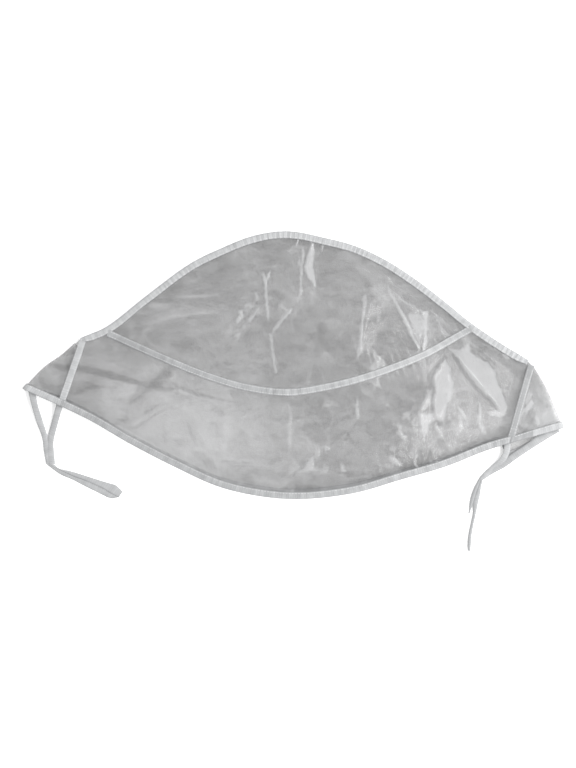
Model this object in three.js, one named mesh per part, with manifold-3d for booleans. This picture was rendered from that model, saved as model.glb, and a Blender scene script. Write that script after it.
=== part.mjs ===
import * as THREE from "three";
import { mergeVertices } from "three/addons/utils/BufferGeometryUtils.js";
import Module from "manifold-3d";

const wasm = await Module();
wasm.setup();

// A rain bonnet of clear film, laid flat with its front on top. Lengths are in millimetres.
// X runs across, from the left tip to the right one, Y from the front hem to the crown, Z up.
const BODY_WIDTH = 459;
const BODY_DEPTH = 226;
const TAPE_WIDTH = 6;

// Walls, and the free space that is left between two pieces
const FILM_WALL = 1.2;
const TAPE_WALL = 1;
const TIE_WALL = 1;
const CLEARANCE = 0.3;
const JOINT_GAP = 0.6;
const FLAT_TAPE_CLEARANCE = 0.5;

// How far the front film stands off the ground at the middle of its hem, and how far it domes over that
const MOUTH_RISE = 18;
const DOME_RISE = 20;

// Film beside a taped edge stays level over BAND, and the back film comes down to the ground over RAMP
const BAND = 7;
const RAMP = 13;
const BAND_SHARE = 0.3;
const LEVEL_UNDER_ARCH = 17;
const LEVEL_OVER_HEM = 11;
const LEVEL_SIDE = 12.5;

// The back film comes down fully only where it is longer than DIP_FROM and DIP_OVER together
const DIP_FROM = 40;
const DIP_OVER = 40;

// How fast the front film rises away from the side seams, at its hem and over the rest
const HEM_BOW = 1.2;
const DOME_BOW = 0.8;
const FOLD_FADE = 2;

// Where the flaps and the seam tapes stop short of the corners, and the strip by which a flap's fold
// reaches into the lower film, with shares of the film's wall that keep it inside that film
const FLAP_TOP_INSET = 6.5;
const SEAM_TAPE_INSET = 9.6;
const SEAM_TAPE_START = 0.6;
const STRIP_WIDTH = 3;
const STRIP_WALL = 0.8;
const STRIP_ROOT_WALL = 0.92;

// Points closer than this are one point
const SAME_POINT = 1e-4;

// Heights that follow from the walls: a taped edge lies on its own tape
const EDGE_INSET = TAPE_WALL + CLEARANCE;
const HEM_HALF = FILM_WALL / 2 + CLEARANCE + TAPE_WALL;
const BACK_LEVEL = HEM_HALF;
const ARCH_LEVEL = BACK_LEVEL + FILM_WALL + CLEARANCE;
const TIE_LEVEL = 2 * HEM_HALF + CLEARANCE + TIE_WALL / 2;
const FOOT_LEVEL = TIE_LEVEL + TIE_WALL / 2 + CLEARANCE + HEM_HALF;

// Outlines: `across` is a share of half the body width, `up` a share of the body depth
const ARCH = [
  { across: -0.786, up: 0.602 },
  { across: -0.689, up: 0.643 },
  { across: -0.545, up: 0.756 },
  { across: -0.379, up: 0.88 },
  { across: -0.268, up: 0.936 },
  { across: -0.157, up: 0.981 },
  { across: -0.065, up: 1 },
  { across: 0.009, up: 1 },
  { across: 0.12, up: 0.977 },
  { across: 0.231, up: 0.947 },
  { across: 0.342, up: 0.895 },
  { across: 0.453, up: 0.823 },
  { across: 0.564, up: 0.737 },
  { across: 0.66, up: 0.658 },
  { across: 0.774, up: 0.579 },
  { across: 0.874, up: 0.519 },
];
const VISOR_SEAM = [
  { across: -0.682, up: 0.62 },
  { across: -0.527, up: 0.549 },
  { across: -0.32, up: 0.462 },
  { across: -0.172, up: 0.417 },
  { across: -0.02, up: 0.398 },
  { across: 0.12, up: 0.417 },
  { across: 0.268, up: 0.455 },
  { across: 0.475, up: 0.534 },
  { across: 0.571, up: 0.586 },
  { across: 0.664, up: 0.639 },
];
const FRONT_HEM = [
  { across: -0.856, up: 0.346 },
  { across: -0.741, up: 0.289 },
  { across: -0.601, up: 0.207 },
  { across: -0.434, up: 0.12 },
  { across: -0.268, up: 0.045 },
  { across: -0.102, up: 0.008 },
  { across: 0.039, up: 0 },
  { across: 0.231, up: 0.023 },
  { across: 0.397, up: 0.071 },
  { across: 0.564, up: 0.12 },
  { across: 0.708, up: 0.177 },
  { across: 0.8, up: 0.207 },
];

// The back hem runs hidden behind the front hem, and shows at the right as a pointed corner
const BACK_HEM_RECESS = 0.009;
const BACK_HEM_FIRST = { across: -0.996, up: 0.4 };
const BACK_HEM_LAST = [
  { across: 0.767, up: 0.203 },
  { across: 0.797, up: 0.154 },
  { across: 0.878, up: 0.188 },
  { across: 1, up: 0.259 },
];
const BACK_HEM = [
  BACK_HEM_FIRST,
  ...FRONT_HEM.slice(0, -1).map(({ across, up }) => ({ across, up: up + BACK_HEM_RECESS })),
  ...BACK_HEM_LAST,
];

// The two folded sides: the fold from its tip up to the arch, and the side seam from foot to top
const LEFT_SIDE = {
  fold: [
    { across: -0.996, up: 0.41 },
    { across: -0.919, up: 0.492 },
    { across: -0.852, up: 0.541 },
    { across: -0.786, up: 0.602 },
  ],
  foot: { across: -0.856, up: 0.346 },
  top: { across: -0.774, up: 0.594 },
  outward: -1,
};
const RIGHT_SIDE = {
  fold: [
    { across: 1, up: 0.263 },
    { across: 0.952, up: 0.387 },
    { across: 0.908, up: 0.47 },
    { across: 0.874, up: 0.519 },
  ],
  foot: { across: 0.8, up: 0.207 },
  top: { across: 0.885, up: 0.508 },
  outward: 1,
};

// Soft folds of the front film: ends as above, `wide` a share of the body depth, `high` of the dome's rise
const FOLDS = [
  { across: -0.091, up: 0.838, toAcross: -0.057, toUp: 0.462, wide: 0.035, high: 0.14 },
  { across: 0.046, up: 0.951, toAcross: -0.009, toUp: 0.669, wide: 0.035, high: 0.14 },
  { across: -0.213, up: 0.632, toAcross: -0.113, toUp: 0.774, wide: 0.04, high: -0.14 },
  { across: 0.268, up: 0.801, toAcross: 0.257, toUp: 0.519, wide: 0.035, high: 0.12 },
  { across: 0.342, up: 0.801, toAcross: 0.475, toUp: 0.575, wide: 0.045, high: 0.16 },
  { across: 0.397, up: 0.744, toAcross: 0.497, toUp: 0.669, wide: 0.035, high: -0.12 },
  { across: 0.56, up: 0.53, toAcross: 0.527, toUp: 0.274, wide: 0.045, high: 0.18 },
  { across: 0.619, up: 0.556, toAcross: 0.767, toUp: 0.368, wide: 0.045, high: 0.16 },
  { across: -0.445, up: 0.5, toAcross: -0.582, toUp: 0.323, wide: 0.05, high: 0.16 },
  { across: -0.804, up: 0.474, toAcross: -0.49, toUp: 0.414, wide: 0.045, high: -0.14 },
  { across: -0.035, up: 0.368, toAcross: -0.035, toUp: 0.105, wide: 0.035, high: 0.12 },
  { across: -0.25, up: 0.387, toAcross: -0.25, toUp: 0.105, wide: 0.035, high: 0.1 },
  { across: 0.416, up: 0.218, toAcross: 0.49, toUp: 0.406, wide: 0.04, high: 0.14 },
];

// Ties: `width` is a share of the tape width, `level` goes from 0 on the ground to 1 between the hem tapes
const LEFT_TIE = {
  legs: [
    [
      { across: -0.955, up: 0.425, width: 1, level: 1 },
      { across: -0.95, up: 0.35, width: 1, level: 1 },
      { across: -0.937, up: 0.282, width: 1, level: 0.35 },
      { across: -0.919, up: 0.222, width: 1, level: 0 },
      { across: -0.908, up: 0.173, width: 1, level: 0 },
      { across: -0.906, up: 0.128, width: 1, level: 0 },
    ],
    [
      { across: -0.852, up: 0.375, width: 1, level: 1 },
      { across: -0.867, up: 0.32, width: 1, level: 0.9 },
      { across: -0.885, up: 0.263, width: 0.95, level: 0.25 },
      { across: -0.895, up: 0.211, width: 0.95, level: 0 },
      { across: -0.895, up: 0.173, width: 1, level: 0 },
      { across: -0.895, up: 0.128, width: 1, level: 0 },
    ],
  ],
  run: [
    { across: -0.902, up: 0.136, width: 1.1, level: 0 },
    { across: -0.86, up: 0.102, width: 0.8, level: 0 },
    { across: -0.811, up: 0.083, width: 1.1, level: 0 },
    { across: -0.76, up: 0.061, width: 1.4, level: 0 },
    { across: -0.701, up: 0.037, width: 1.75, level: 0 },
    { across: -0.656, up: 0.024, width: 1.6, level: 0 },
    { across: -0.634, up: 0.013, width: 0.7, level: 0 },
  ],
  slit: [
    { across: -0.701, up: 0.039, width: 0.2, level: 0 },
    { across: -0.671, up: 0.024, width: 0.2, level: 0 },
    { across: -0.648, up: 0.013, width: 0.2, level: 0 },
  ],
};
const RIGHT_TIE = {
  legs: [
    [
      { across: 0.95, up: 0.268, width: 0.9, level: 1 },
      { across: 0.926, up: 0.229, width: 0.9, level: 1 },
      { across: 0.867, up: 0.19, width: 0.9, level: 1 },
      { across: 0.786, up: 0.139, width: 0.95, level: 1 },
      { across: 0.745, up: 0.112, width: 1.1, level: 0.3 },
      { across: 0.701, up: 0.079, width: 0.75, level: 0 },
    ],
    [
      { across: 0.799, up: 0.235, width: 1, level: 1 },
      { across: 0.793, up: 0.192, width: 1, level: 1 },
      { across: 0.778, up: 0.154, width: 0.95, level: 1 },
      { across: 0.745, up: 0.118, width: 1, level: 0.3 },
    ],
  ],
  run: [
    { across: 0.708, up: 0.087, width: 0.7, level: 0 },
    { across: 0.69, up: 0.05, width: 1.1, level: 0 },
    { across: 0.677, up: 0.015, width: 1.4, level: 0 },
    { across: 0.671, up: -0.015, width: 1.35, level: 0 },
    { across: 0.669, up: -0.034, width: 1.2, level: 0 },
  ],
  prongs: [
    [
      { across: 0.676, up: -0.018, width: 0.65, level: 0 },
      { across: 0.671, up: -0.075, width: 0.55, level: 0 },
      { across: 0.66, up: -0.128, width: 0.5, level: 0 },
      { across: 0.655, up: -0.177, width: 0.5, level: 0 },
      { across: 0.655, up: -0.199, width: 0.35, level: 0 },
    ],
    [
      { across: 0.66, up: -0.014, width: 0.4, level: 0 },
      { across: 0.656, up: -0.041, width: 0.3, level: 0 },
      { across: 0.654, up: -0.056, width: 0.22, level: 0 },
    ],
  ],
};

// How finely each piece is divided
const ARCH_SPANS = [
  { rows: 1, columns: 3 },
  { rows: 12, columns: 40 },
  { rows: 2, columns: 6 },
];
const CROWN_ROWS = 9;
const VISOR_ROWS = 8;
const BACK_ROWS = 5;
const FLAP_ROWS = 6;
const FLAP_COLUMNS = 4;
const ROLL_COLUMNS = 6;
const SEAM_TAPE_ROWS = 4;

const UP = new THREE.Vector3(0, 0, 1);
const DOWN = new THREE.Vector3(0, 0, -1);
const TOWARDS_CROWN = new THREE.Vector3(0, 1, 0);

const { clamp, lerp } = THREE.MathUtils;

function spot({ across, up }) {
  return new THREE.Vector3((across * BODY_WIDTH) / 2, up * BODY_DEPTH, 0);
}

function curveThrough(rows) {
  return new THREE.CatmullRomCurve3(rows.map(spot), false, "centripetal");
}

function evenly(from, to, count) {
  return Array.from({ length: count + 1 }, (_, k) => lerp(from, to, k / count));
}

function moved(point, direction, length) {
  return point.clone().addScaledVector(direction, length);
}

// Points of an outline with the direction that leads into the film; turn is 1 for a hem, -1 for a top edge
function edgeAlong(curve, stops, turn) {
  return stops.map((stop) => {
    const tangent = curve.getTangent(stop);
    return {
      at: curve.getPoint(stop),
      inward: new THREE.Vector3(-tangent.y, tangent.x, 0).multiplyScalar(turn),
    };
  });
}

function evenEdge(curve, count, turn) {
  const stops = evenly(0, 1, count).map((share) => curve.getUtoTmapping(share));
  return edgeAlong(curve, stops, turn);
}

// The y of a line of points at x
function lineAt(points, x) {
  const found = points.findIndex((point) => point.x >= x);
  const next = found < 0 ? points.length - 1 : Math.max(found, 1);
  const [a, b] = [points[next - 1], points[next]];
  return lerp(a.y, b.y, clamp((x - a.x) / (b.x - a.x), 0, 1));
}

// A closed body through sections of equal size, each an outer side and then the inner side backwards
function loft(sections) {
  const size = sections[0].length;
  const last = (sections.length - 1) * size;
  const triangles = [];
  for (let k = 0; k < last; k += size) {
    for (let j = 0; j < size; j += 1) {
      const next = (j + 1) % size;
      const [a, b, c, d] = [k + j, k + next, k + size + next, k + size + j];
      if (j < size / 2) triangles.push([a, b, c], [a, c, d]);
      else triangles.push([a, b, d], [b, c, d]);
    }
  }
  for (let j = 0; j < size / 2 - 1; j += 1) {
    const far = size - 1 - j;
    triangles.push([j, far, far - 1], [j, far - 1, j + 1]);
    triangles.push([last + j, last + far - 1, last + far], [last + j, last + j + 1, last + far - 1]);
  }
  return closedBody(sections.flat(), triangles);
}

// Geometry from points and triangles, with equal points joined and its faces turned outward
function closedBody(points, triangles) {
  const loose = new THREE.BufferGeometry();
  loose.setAttribute("position", new THREE.Float32BufferAttribute(points.flatMap((p) => p.toArray()), 3));
  loose.setIndex(triangles.flat());
  const geometry = mergeVertices(loose, SAME_POINT);
  const index = geometry.index.array;
  const position = geometry.attributes.position;
  const faces = [];
  let volume = 0;
  for (let k = 0; k < index.length; k += 3) {
    const face = [index[k], index[k + 1], index[k + 2]];
    if (new Set(face).size === 3) {
      faces.push(face);
      const [a, b, c] = face.map((corner) => new THREE.Vector3().fromBufferAttribute(position, corner));
      volume += a.dot(b.cross(c));
    }
  }
  geometry.setIndex(faces.flatMap(([a, b, c]) => (volume < 0 ? [a, c, b] : [a, b, c])));
  return geometry;
}

function toManifold(geometry) {
  const mesh = new wasm.Mesh({
    numProp: 3,
    vertProperties: new Float32Array(geometry.attributes.position.array),
    triVerts: new Uint32Array(geometry.index.array),
  });
  return new wasm.Manifold(mesh);
}

function fromManifold(manifold) {
  const mesh = manifold.getMesh();
  const geometry = new THREE.BufferGeometry();
  geometry.setAttribute("position", new THREE.Float32BufferAttribute(mesh.vertProperties, 3));
  geometry.setIndex(Array.from(mesh.triVerts));
  return geometry;
}

function joined(geometries) {
  return geometries.map(toManifold).reduce((whole, piece) => whole.add(piece));
}

// Curves and edges that the pieces share
const archCurve = curveThrough(ARCH);
const archStops = [0];
let archRow = 0;
for (const { rows, columns } of ARCH_SPANS) {
  archStops.push(...evenly(archRow, archRow + rows, columns).slice(1).map((row) => row / (ARCH.length - 1)));
  archRow += rows;
}
const archEdge = edgeAlong(archCurve, archStops, -1);
const archPoints = archEdge.map(({ at }) => at);
const leftColumns = ARCH_SPANS[0].columns;
const crownColumns = ARCH_SPANS[1].columns;
const frontColumns = archEdge.length - 1;
const hemCurve = curveThrough(FRONT_HEM);
const hemEdge = evenEdge(hemCurve, frontColumns, 1);
const hemPoints = hemEdge.map(({ at }) => at);
const seamCurve = curveThrough(VISOR_SEAM);
const seamEdge = evenEdge(seamCurve, crownColumns, 1);

function seamAcross(side, y) {
  const [foot, top] = [spot(side.foot), spot(side.top)];
  return lerp(foot.x, top.x, clamp((y - foot.y) / (top.y - foot.y), 0, 1));
}

function seamDirection(side) {
  return spot(side.top).sub(spot(side.foot)).normalize();
}

function foldLift(x, y) {
  const here = new THREE.Vector3(x, y, 0);
  return FOLDS.reduce((sum, { across, up, toAcross, toUp, wide, high }) => {
    const crease = new THREE.Line3(spot({ across, up }), spot({ across: toAcross, up: toUp }));
    const nearest = crease.closestPointToPoint(here, true, new THREE.Vector3());
    const away = nearest.distanceTo(here) / (wide * BODY_DEPTH);
    return sum + high * DOME_RISE * Math.exp(-away * away);
  }, 0);
}

// Height of the middle of the front film over the ground: level beside the tapes, a dome between them
function frontLevel(x, y) {
  const top = lineAt(archPoints, x) - LEVEL_UNDER_ARCH;
  const bottom = lineAt(hemPoints, x) + LEVEL_OVER_HEM;
  const rise = clamp((y - bottom) / (top - bottom), 0, 1);
  const left = seamAcross(LEFT_SIDE, y) + LEVEL_SIDE;
  const right = seamAcross(RIGHT_SIDE, y) - LEVEL_SIDE;
  const bow = Math.sin(Math.PI * clamp((x - left) / (right - left), 0, 1));
  const hemLevel = lerp(FOOT_LEVEL, MOUTH_RISE, bow ** HEM_BOW);
  const dome = 4 * rise * (1 - rise) * bow ** DOME_BOW;
  const loose = Math.min(1, FOLD_FADE * dome);
  return lerp(hemLevel, ARCH_LEVEL, rise) + DOME_RISE * dome + foldLift(x, y) * loose;
}

// Points from a lower to an upper edge: the taped band of each, and even rows between the bands
function columnBetween(low, high, lowInset, highInset, rows) {
  const start = moved(low.at, low.inward, lowInset);
  const end = moved(high.at, high.inward, highInset);
  const band = Math.min(BAND, BAND_SHARE * start.distanceTo(end));
  const first = moved(start, low.inward, band);
  const last = moved(end, high.inward, band);
  const between = evenly(0, 1, rows).map((share) => first.clone().lerp(last, share));
  return [start, ...between, end];
}

function atFrontLevel(column) {
  column.forEach((point) => point.setZ(frontLevel(point.x, point.y)));
  return column;
}

function wallSection(column, wall) {
  const outer = column.map((point) => moved(point, UP, wall / 2));
  const inner = column.map((point) => moved(point, DOWN, wall / 2));
  return [...outer, ...inner.reverse()];
}

// The crown, a lens between the arch and the visor seam
const crown = seamEdge.map((low, k) =>
  atFrontLevel(columnBetween(low, archEdge[leftColumns + k], JOINT_GAP / 2, EDGE_INSET, CROWN_ROWS)),
);

// The visor, from the front hem up to the seam, and to the arch beyond the crown's corners
function seamEnd(side) {
  const along = seamDirection(side);
  const shift = (-side.outward * JOINT_GAP) / 2;
  return {
    low: { at: spot(side.foot).setX(spot(side.foot).x + shift), inward: along },
    high: { at: spot(side.top).setX(spot(side.top).x + shift), inward: along.clone().negate() },
  };
}

const visor = hemEdge.map((hem, k) => {
  if (k === 0 || k === frontColumns) {
    const { low, high } = seamEnd(k === 0 ? LEFT_SIDE : RIGHT_SIDE);
    return atFrontLevel(columnBetween(low, high, EDGE_INSET, EDGE_INSET, VISOR_ROWS));
  }
  const underCrown = k - leftColumns;
  if (underCrown < 0 || underCrown > crownColumns) {
    return atFrontLevel(columnBetween(hem, archEdge[k], EDGE_INSET, EDGE_INSET, VISOR_ROWS));
  }
  const { at, inward } = seamEdge[underCrown];
  const seam = { at, inward: inward.clone().negate() };
  return atFrontLevel(columnBetween(hem, seam, EDGE_INSET, JOINT_GAP / 2, VISOR_ROWS));
});

// A side of the back film: rows from the hem at the tip up the fold, each from the side seam round the fold
function foldedSide(side) {
  const curve = curveThrough(side.fold);
  const foot = spot(side.foot);
  const along = seamDirection(side);
  const seamLength = foot.distanceTo(spot(side.top));
  const foldLength = curve.getLength();
  const reach = (length) => [EDGE_INSET, ...evenly(EDGE_INSET + BAND, length - FLAP_TOP_INSET, FLAP_ROWS - 1)];
  const seamReach = reach(seamLength);
  return reach(foldLength).map((length, k) => {
    const fold = curve.getPointAt(length / foldLength);
    const seam = moved(foot, along, seamReach[k]);
    seam.x += (side.outward * JOINT_GAP) / 2;
    const level = frontLevel(seamAcross(side, seam.y), seam.y);
    const radius = (level - BACK_LEVEL) / 2;
    const inner = seam.clone().sub(fold).normalize();
    const centre = moved(fold, inner, radius + FILM_WALL / 2);
    return { seam, centre, inner, level, radius };
  });
}

function foldDirection(rows) {
  return rows[1].centre.clone().sub(rows[0].centre).setZ(0).normalize();
}

// The middle of the film round the fold of a row, from the top layer to the bottom one
function rollAt({ centre, inner, radius }) {
  return evenly(0, Math.PI, ROLL_COLUMNS).map((angle) => {
    const normal = inner.clone().multiplyScalar(-Math.sin(angle)).setZ(Math.cos(angle));
    const at = centre.clone().setZ(BACK_LEVEL + radius).addScaledVector(normal, radius);
    return { at, normal };
  });
}

function flapAt({ seam, centre, level }) {
  return evenly(0, 1, FLAP_COLUMNS).map((share) => seam.clone().lerp(centre, share).setZ(level));
}

function foldedSection(row) {
  const flap = flapAt(row).slice(0, -1).map((at) => ({ at, normal: UP, share: 1 }));
  const roll = rollAt(row).map(({ at, normal }, k) => ({
    at,
    normal,
    share: k === ROLL_COLUMNS ? STRIP_ROOT_WALL : 1,
  }));
  const strip = moved(row.centre, row.inner, STRIP_WIDTH).setZ(BACK_LEVEL);
  const middle = [...flap, ...roll, { at: strip, normal: DOWN, share: STRIP_WALL }];
  const outer = middle.map(({ at, normal, share }) => moved(at, normal, (share * FILM_WALL) / 2));
  const inner = middle.map(({ at, normal, share }) => moved(at, normal, (-share * FILM_WALL) / 2));
  return [...outer, ...inner.reverse()];
}

const leftRows = foldedSide(LEFT_SIDE);
const rightRows = foldedSide(RIGHT_SIDE);

// The lower layer of the back film, from fold to fold and from its hem to the arch
function foldEdge(rows, outward) {
  return rows.slice(1).map(({ centre }, k) => {
    const along = centre.clone().sub(rows[k].centre).normalize();
    return { at: centre, inward: new THREE.Vector3(along.y, -along.x, 0).multiplyScalar(-outward) };
  });
}

const backTop = [
  ...foldEdge(leftRows, -1),
  ...archEdge.map(({ at, inward }) => ({ at: moved(at, inward, EDGE_INSET), inward })),
  ...foldEdge(rightRows, 1).reverse(),
];
const backHemEdge = evenEdge(curveThrough(BACK_HEM), backTop.length - 1, 1).map(({ at }) => ({
  at: moved(at, TOWARDS_CROWN, EDGE_INSET),
  inward: TOWARDS_CROWN,
}));

function backEnd(rows) {
  const along = foldDirection(rows);
  return {
    low: { at: rows[0].centre, inward: along },
    high: { at: rows[1].centre, inward: along.clone().negate() },
  };
}

function atBackLevel(column) {
  const length = column[0].distanceTo(column[column.length - 1]);
  const dip = (BACK_LEVEL - FILM_WALL / 2) * clamp((length - DIP_FROM) / DIP_OVER, 0, 1);
  const [first, last] = [column[1], column[column.length - 2]];
  const ramp = Math.min(RAMP / first.distanceTo(last), BAND_SHARE);
  const between = evenly(ramp, 1 - ramp, BACK_ROWS).map((share) => {
    return first.clone().lerp(last, share).setZ(BACK_LEVEL - dip);
  });
  const taped = (point) => point.clone().setZ(BACK_LEVEL);
  return [taped(column[0]), taped(first), ...between, taped(last), taped(column[column.length - 1])];
}

const backEdges = backTop.map((high, k) => ({ low: backHemEdge[k], high }));
backEdges[0] = backEnd(leftRows);
backEdges[backEdges.length - 1] = backEnd(rightRows);
const back = backEdges.map(({ low, high }) => atBackLevel(columnBetween(low, high, 0, 0, 1)));

// Folded tape round an edge: at is the film's edge, inward leads into the film, half is half what it holds
function foldedTape(half) {
  const [reach, inside, outside] = [TAPE_WIDTH - EDGE_INSET, half + CLEARANCE, half + CLEARANCE + TAPE_WALL];
  const outer = [
    [reach, outside],
    [-EDGE_INSET, outside],
    [-EDGE_INSET, -outside],
    [reach, -outside],
  ];
  const inner = [
    [reach, inside],
    [-CLEARANCE, inside],
    [-CLEARANCE, -inside],
    [reach, -inside],
  ];
  const profile = [...outer, ...inner.reverse()];
  return ({ at, inward, normal }) => profile.map(([along, out]) => moved(moved(at, inward, along), normal, out));
}

function archTape() {
  const level = (BACK_LEVEL + ARCH_LEVEL) / 2;
  const stations = archEdge.map(({ at, inward }) => ({
    at: moved(at, inward, EDGE_INSET).setZ(level),
    inward,
    normal: UP,
  }));
  return loft(stations.map(foldedTape((ARCH_LEVEL - BACK_LEVEL + FILM_WALL) / 2)));
}

function frontHemTape() {
  const stations = visor.map(([edge, band]) => ({
    at: edge,
    inward: band.clone().sub(edge).setZ(0).normalize(),
    normal: UP,
  }));
  return loft(stations.map(foldedTape(FILM_WALL / 2)));
}

function hemRoundTip(rows, side) {
  const along = foldDirection(rows);
  const up = seamDirection(side);
  const flap = flapAt(rows[0]).slice(0, -1).map((at, k) => ({
    at,
    inward: up.clone().lerp(along, k / FLAP_COLUMNS).normalize(),
    normal: UP,
  }));
  return [...flap, ...rollAt(rows[0]).map(({ at, normal }) => ({ at, inward: along, normal }))];
}

function backHemTape() {
  const bottom = back.slice(1, -1).map(([at]) => ({ at, inward: TOWARDS_CROWN, normal: DOWN }));
  const stations = [
    ...hemRoundTip(leftRows, LEFT_SIDE),
    ...bottom,
    ...hemRoundTip(rightRows, RIGHT_SIDE).reverse(),
  ];
  return loft(stations.map(foldedTape(FILM_WALL / 2)));
}

// Flat tape over a joint: a line of points across the joint, raised over the film
function flatTapeSection(across) {
  const raised = FILM_WALL / 2 + FLAT_TAPE_CLEARANCE + TAPE_WALL / 2;
  return wallSection(across.map((point) => moved(point, UP, raised)), TAPE_WALL);
}

function visorSeamTape() {
  const leg = (TAPE_WIDTH - JOINT_GAP) / 2;
  const towards = (edge, band) => moved(edge, band.clone().sub(edge).normalize(), leg);
  const lines = crown.map(([crownEdge, crownBand], k) => {
    const below = visor[leftColumns + k];
    const [visorBand, visorEdge] = below.slice(-2);
    return [towards(visorEdge, visorBand), visorEdge, crownEdge, towards(crownEdge, crownBand)];
  });
  const between = (from, to) => from.map((point, k) => point.clone().lerp(to[k], SEAM_TAPE_START));
  const trimmed = [
    between(lines[0], lines[1]),
    ...lines.slice(1, -1),
    between(lines[crownColumns], lines[crownColumns - 1]),
  ];
  return loft(trimmed.map(flatTapeSection));
}

function sideSeamTape(side) {
  const foot = spot(side.foot);
  const along = seamDirection(side);
  const length = foot.distanceTo(spot(side.top));
  const square = new THREE.Vector3(along.y, -along.x, 0);
  const sections = evenly(SEAM_TAPE_INSET, length - SEAM_TAPE_INSET, SEAM_TAPE_ROWS).map((reach) => {
    const middle = moved(foot, along, reach);
    middle.z = frontLevel(seamAcross(side, middle.y), middle.y);
    return flatTapeSection([moved(middle, square, -TAPE_WIDTH / 2), moved(middle, square, TAPE_WIDTH / 2)]);
  });
  return loft(sections);
}

// A flat band along the rows of a tie's table
function band(rows, wall) {
  const middle = rows.map(({ level, ...row }) => spot(row).setZ(lerp(wall / 2, TIE_LEVEL, level)));
  const sections = middle.map((point, k) => {
    const before = middle[Math.max(k - 1, 0)];
    const after = middle[Math.min(k + 1, middle.length - 1)];
    const along = after.clone().sub(before).setZ(0).normalize();
    const square = new THREE.Vector3(-along.y, along.x, 0);
    const half = (rows[k].width * TAPE_WIDTH) / 2;
    return wallSection([moved(point, square, -half), moved(point, square, half)], wall);
  });
  return loft(sections);
}

function tie({ legs, run, prongs = [], slit }) {
  const plies = 2 * TIE_WALL;
  const bands = [
    ...legs.map((rows) => band(rows, TIE_WALL)),
    band(run, plies),
    ...prongs.map((rows) => band(rows, plies)),
  ];
  const whole = joined(bands);
  return fromManifold(slit ? whole.subtract(toManifold(band(slit, 3 * plies))) : whole);
}

function backPanel() {
  const layer = loft(back.map((column) => wallSection(column, FILM_WALL)));
  return fromManifold(joined([layer, loft(leftRows.map(foldedSection)), loft(rightRows.map(foldedSection))]));
}

const FILM = { color: 0xb2b5b7, roughness: 0.16 };
const TAPE = { color: 0xd6d9db, roughness: 0.4 };
const TIE = { color: 0xcdd0d2, roughness: 0.42 };

const pieces = [
  ["crown_panel", loft(crown.map((column) => wallSection(column, FILM_WALL))), FILM],
  ["visor_panel", loft(visor.map((column) => wallSection(column, FILM_WALL))), FILM],
  ["back_panel", backPanel(), FILM],
  ["crown_seam_tape", archTape(), TAPE],
  ["visor_seam_tape", visorSeamTape(), TAPE],
  ["side_seam_tape_left", sideSeamTape(LEFT_SIDE), TAPE],
  ["side_seam_tape_right", sideSeamTape(RIGHT_SIDE), TAPE],
  ["front_hem_tape", frontHemTape(), TAPE],
  ["back_hem_tape", backHemTape(), TAPE],
  ["tie_left", tie(LEFT_TIE), TIE],
  ["tie_right", tie(RIGHT_TIE), TIE],
];

const bonnet = new THREE.Group();
bonnet.name = "rain_bonnet";
for (const [name, geometry, { color, roughness }] of pieces) {
  const mesh = new THREE.Mesh(geometry, new THREE.MeshStandardMaterial({ color, roughness, metalness: 0 }));
  mesh.name = name;
  bonnet.add(mesh);
}

// The origin is the middle of what the bonnet covers of the ground
const box = new THREE.Box3().setFromObject(bonnet);
const middle = box.getCenter(new THREE.Vector3());
bonnet.position.set(-middle.x, -middle.y, -box.min.z);

export default bonnet;
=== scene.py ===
"""A clear film rain bonnet laid flat: its films, binding tapes, stitches and ties over the CAD frame.

Lengths are metres. X runs from the left tip to the right one, Y from the front hem to the crown, Z up.
"""

import logging
import math
from dataclasses import dataclass, field
from enum import Enum, IntEnum
from functools import reduce
from typing import Any, Sequence

import bmesh
import bpy
import numpy as np
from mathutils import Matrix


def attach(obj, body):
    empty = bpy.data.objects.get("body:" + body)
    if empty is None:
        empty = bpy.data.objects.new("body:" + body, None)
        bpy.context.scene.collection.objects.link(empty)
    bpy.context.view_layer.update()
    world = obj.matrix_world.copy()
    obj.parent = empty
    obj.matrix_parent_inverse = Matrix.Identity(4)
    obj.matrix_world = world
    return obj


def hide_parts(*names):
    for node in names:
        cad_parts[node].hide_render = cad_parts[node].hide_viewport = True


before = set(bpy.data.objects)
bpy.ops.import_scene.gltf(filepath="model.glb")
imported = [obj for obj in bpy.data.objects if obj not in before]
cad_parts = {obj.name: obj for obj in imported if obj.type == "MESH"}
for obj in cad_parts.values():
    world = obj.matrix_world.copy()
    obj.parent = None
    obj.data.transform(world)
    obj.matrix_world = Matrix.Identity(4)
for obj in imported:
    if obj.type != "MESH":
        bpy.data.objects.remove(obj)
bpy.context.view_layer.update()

logging.basicConfig(level=logging.INFO, format="%(message)s")
log = logging.getLogger("bonnet")

Array = np.ndarray
Pair = tuple[float, float]
Piece, Material, Socket = bpy.types.Object, bpy.types.Material, bpy.types.NodeSocket

# The cell size and the seed of a noise, and the border and paleness of marks
Grain = tuple[float, int]
# Marks are pale where creases whiten and where highlights are painted, dark where fold shade is painted
Marks = tuple[Array, Array]

# The bonnet's driving sizes, and its middle on the ground
BODY_WIDTH = 0.459
BODY_DEPTH = 0.226
TAPE_WIDTH = 0.006
MIDDLE = np.array([-0.0004955, -0.0907322])

# Where the bonnet lies in the photograph, in its pixels: the column of its middle and the row of its base,
# half its width and its depth
PHOTO_MIDDLE = 292.5
PHOTO_BASE = 498.0
PHOTO_HALF_WIDTH = 270.5
PHOTO_DEPTH = 266.0

# Heights of the middle of the film over the ground
BACK_LEVEL = 0.0019
ARCH_LEVEL = 0.0034
FOOT_LEVEL = 0.0073
MOUTH_RISE = 0.018
DOME_RISE = 0.020
GROUND_GAP = 0.0005

# Where the front film starts to rise from its edges, and how fast
LEVEL_UNDER_ARCH = 0.017
LEVEL_OVER_HEM = 0.011
LEVEL_SIDE = 0.0125
HEM_BOW = 1.2
DOME_BOW = 0.8
FOLD_FADE = 2.0

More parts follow.
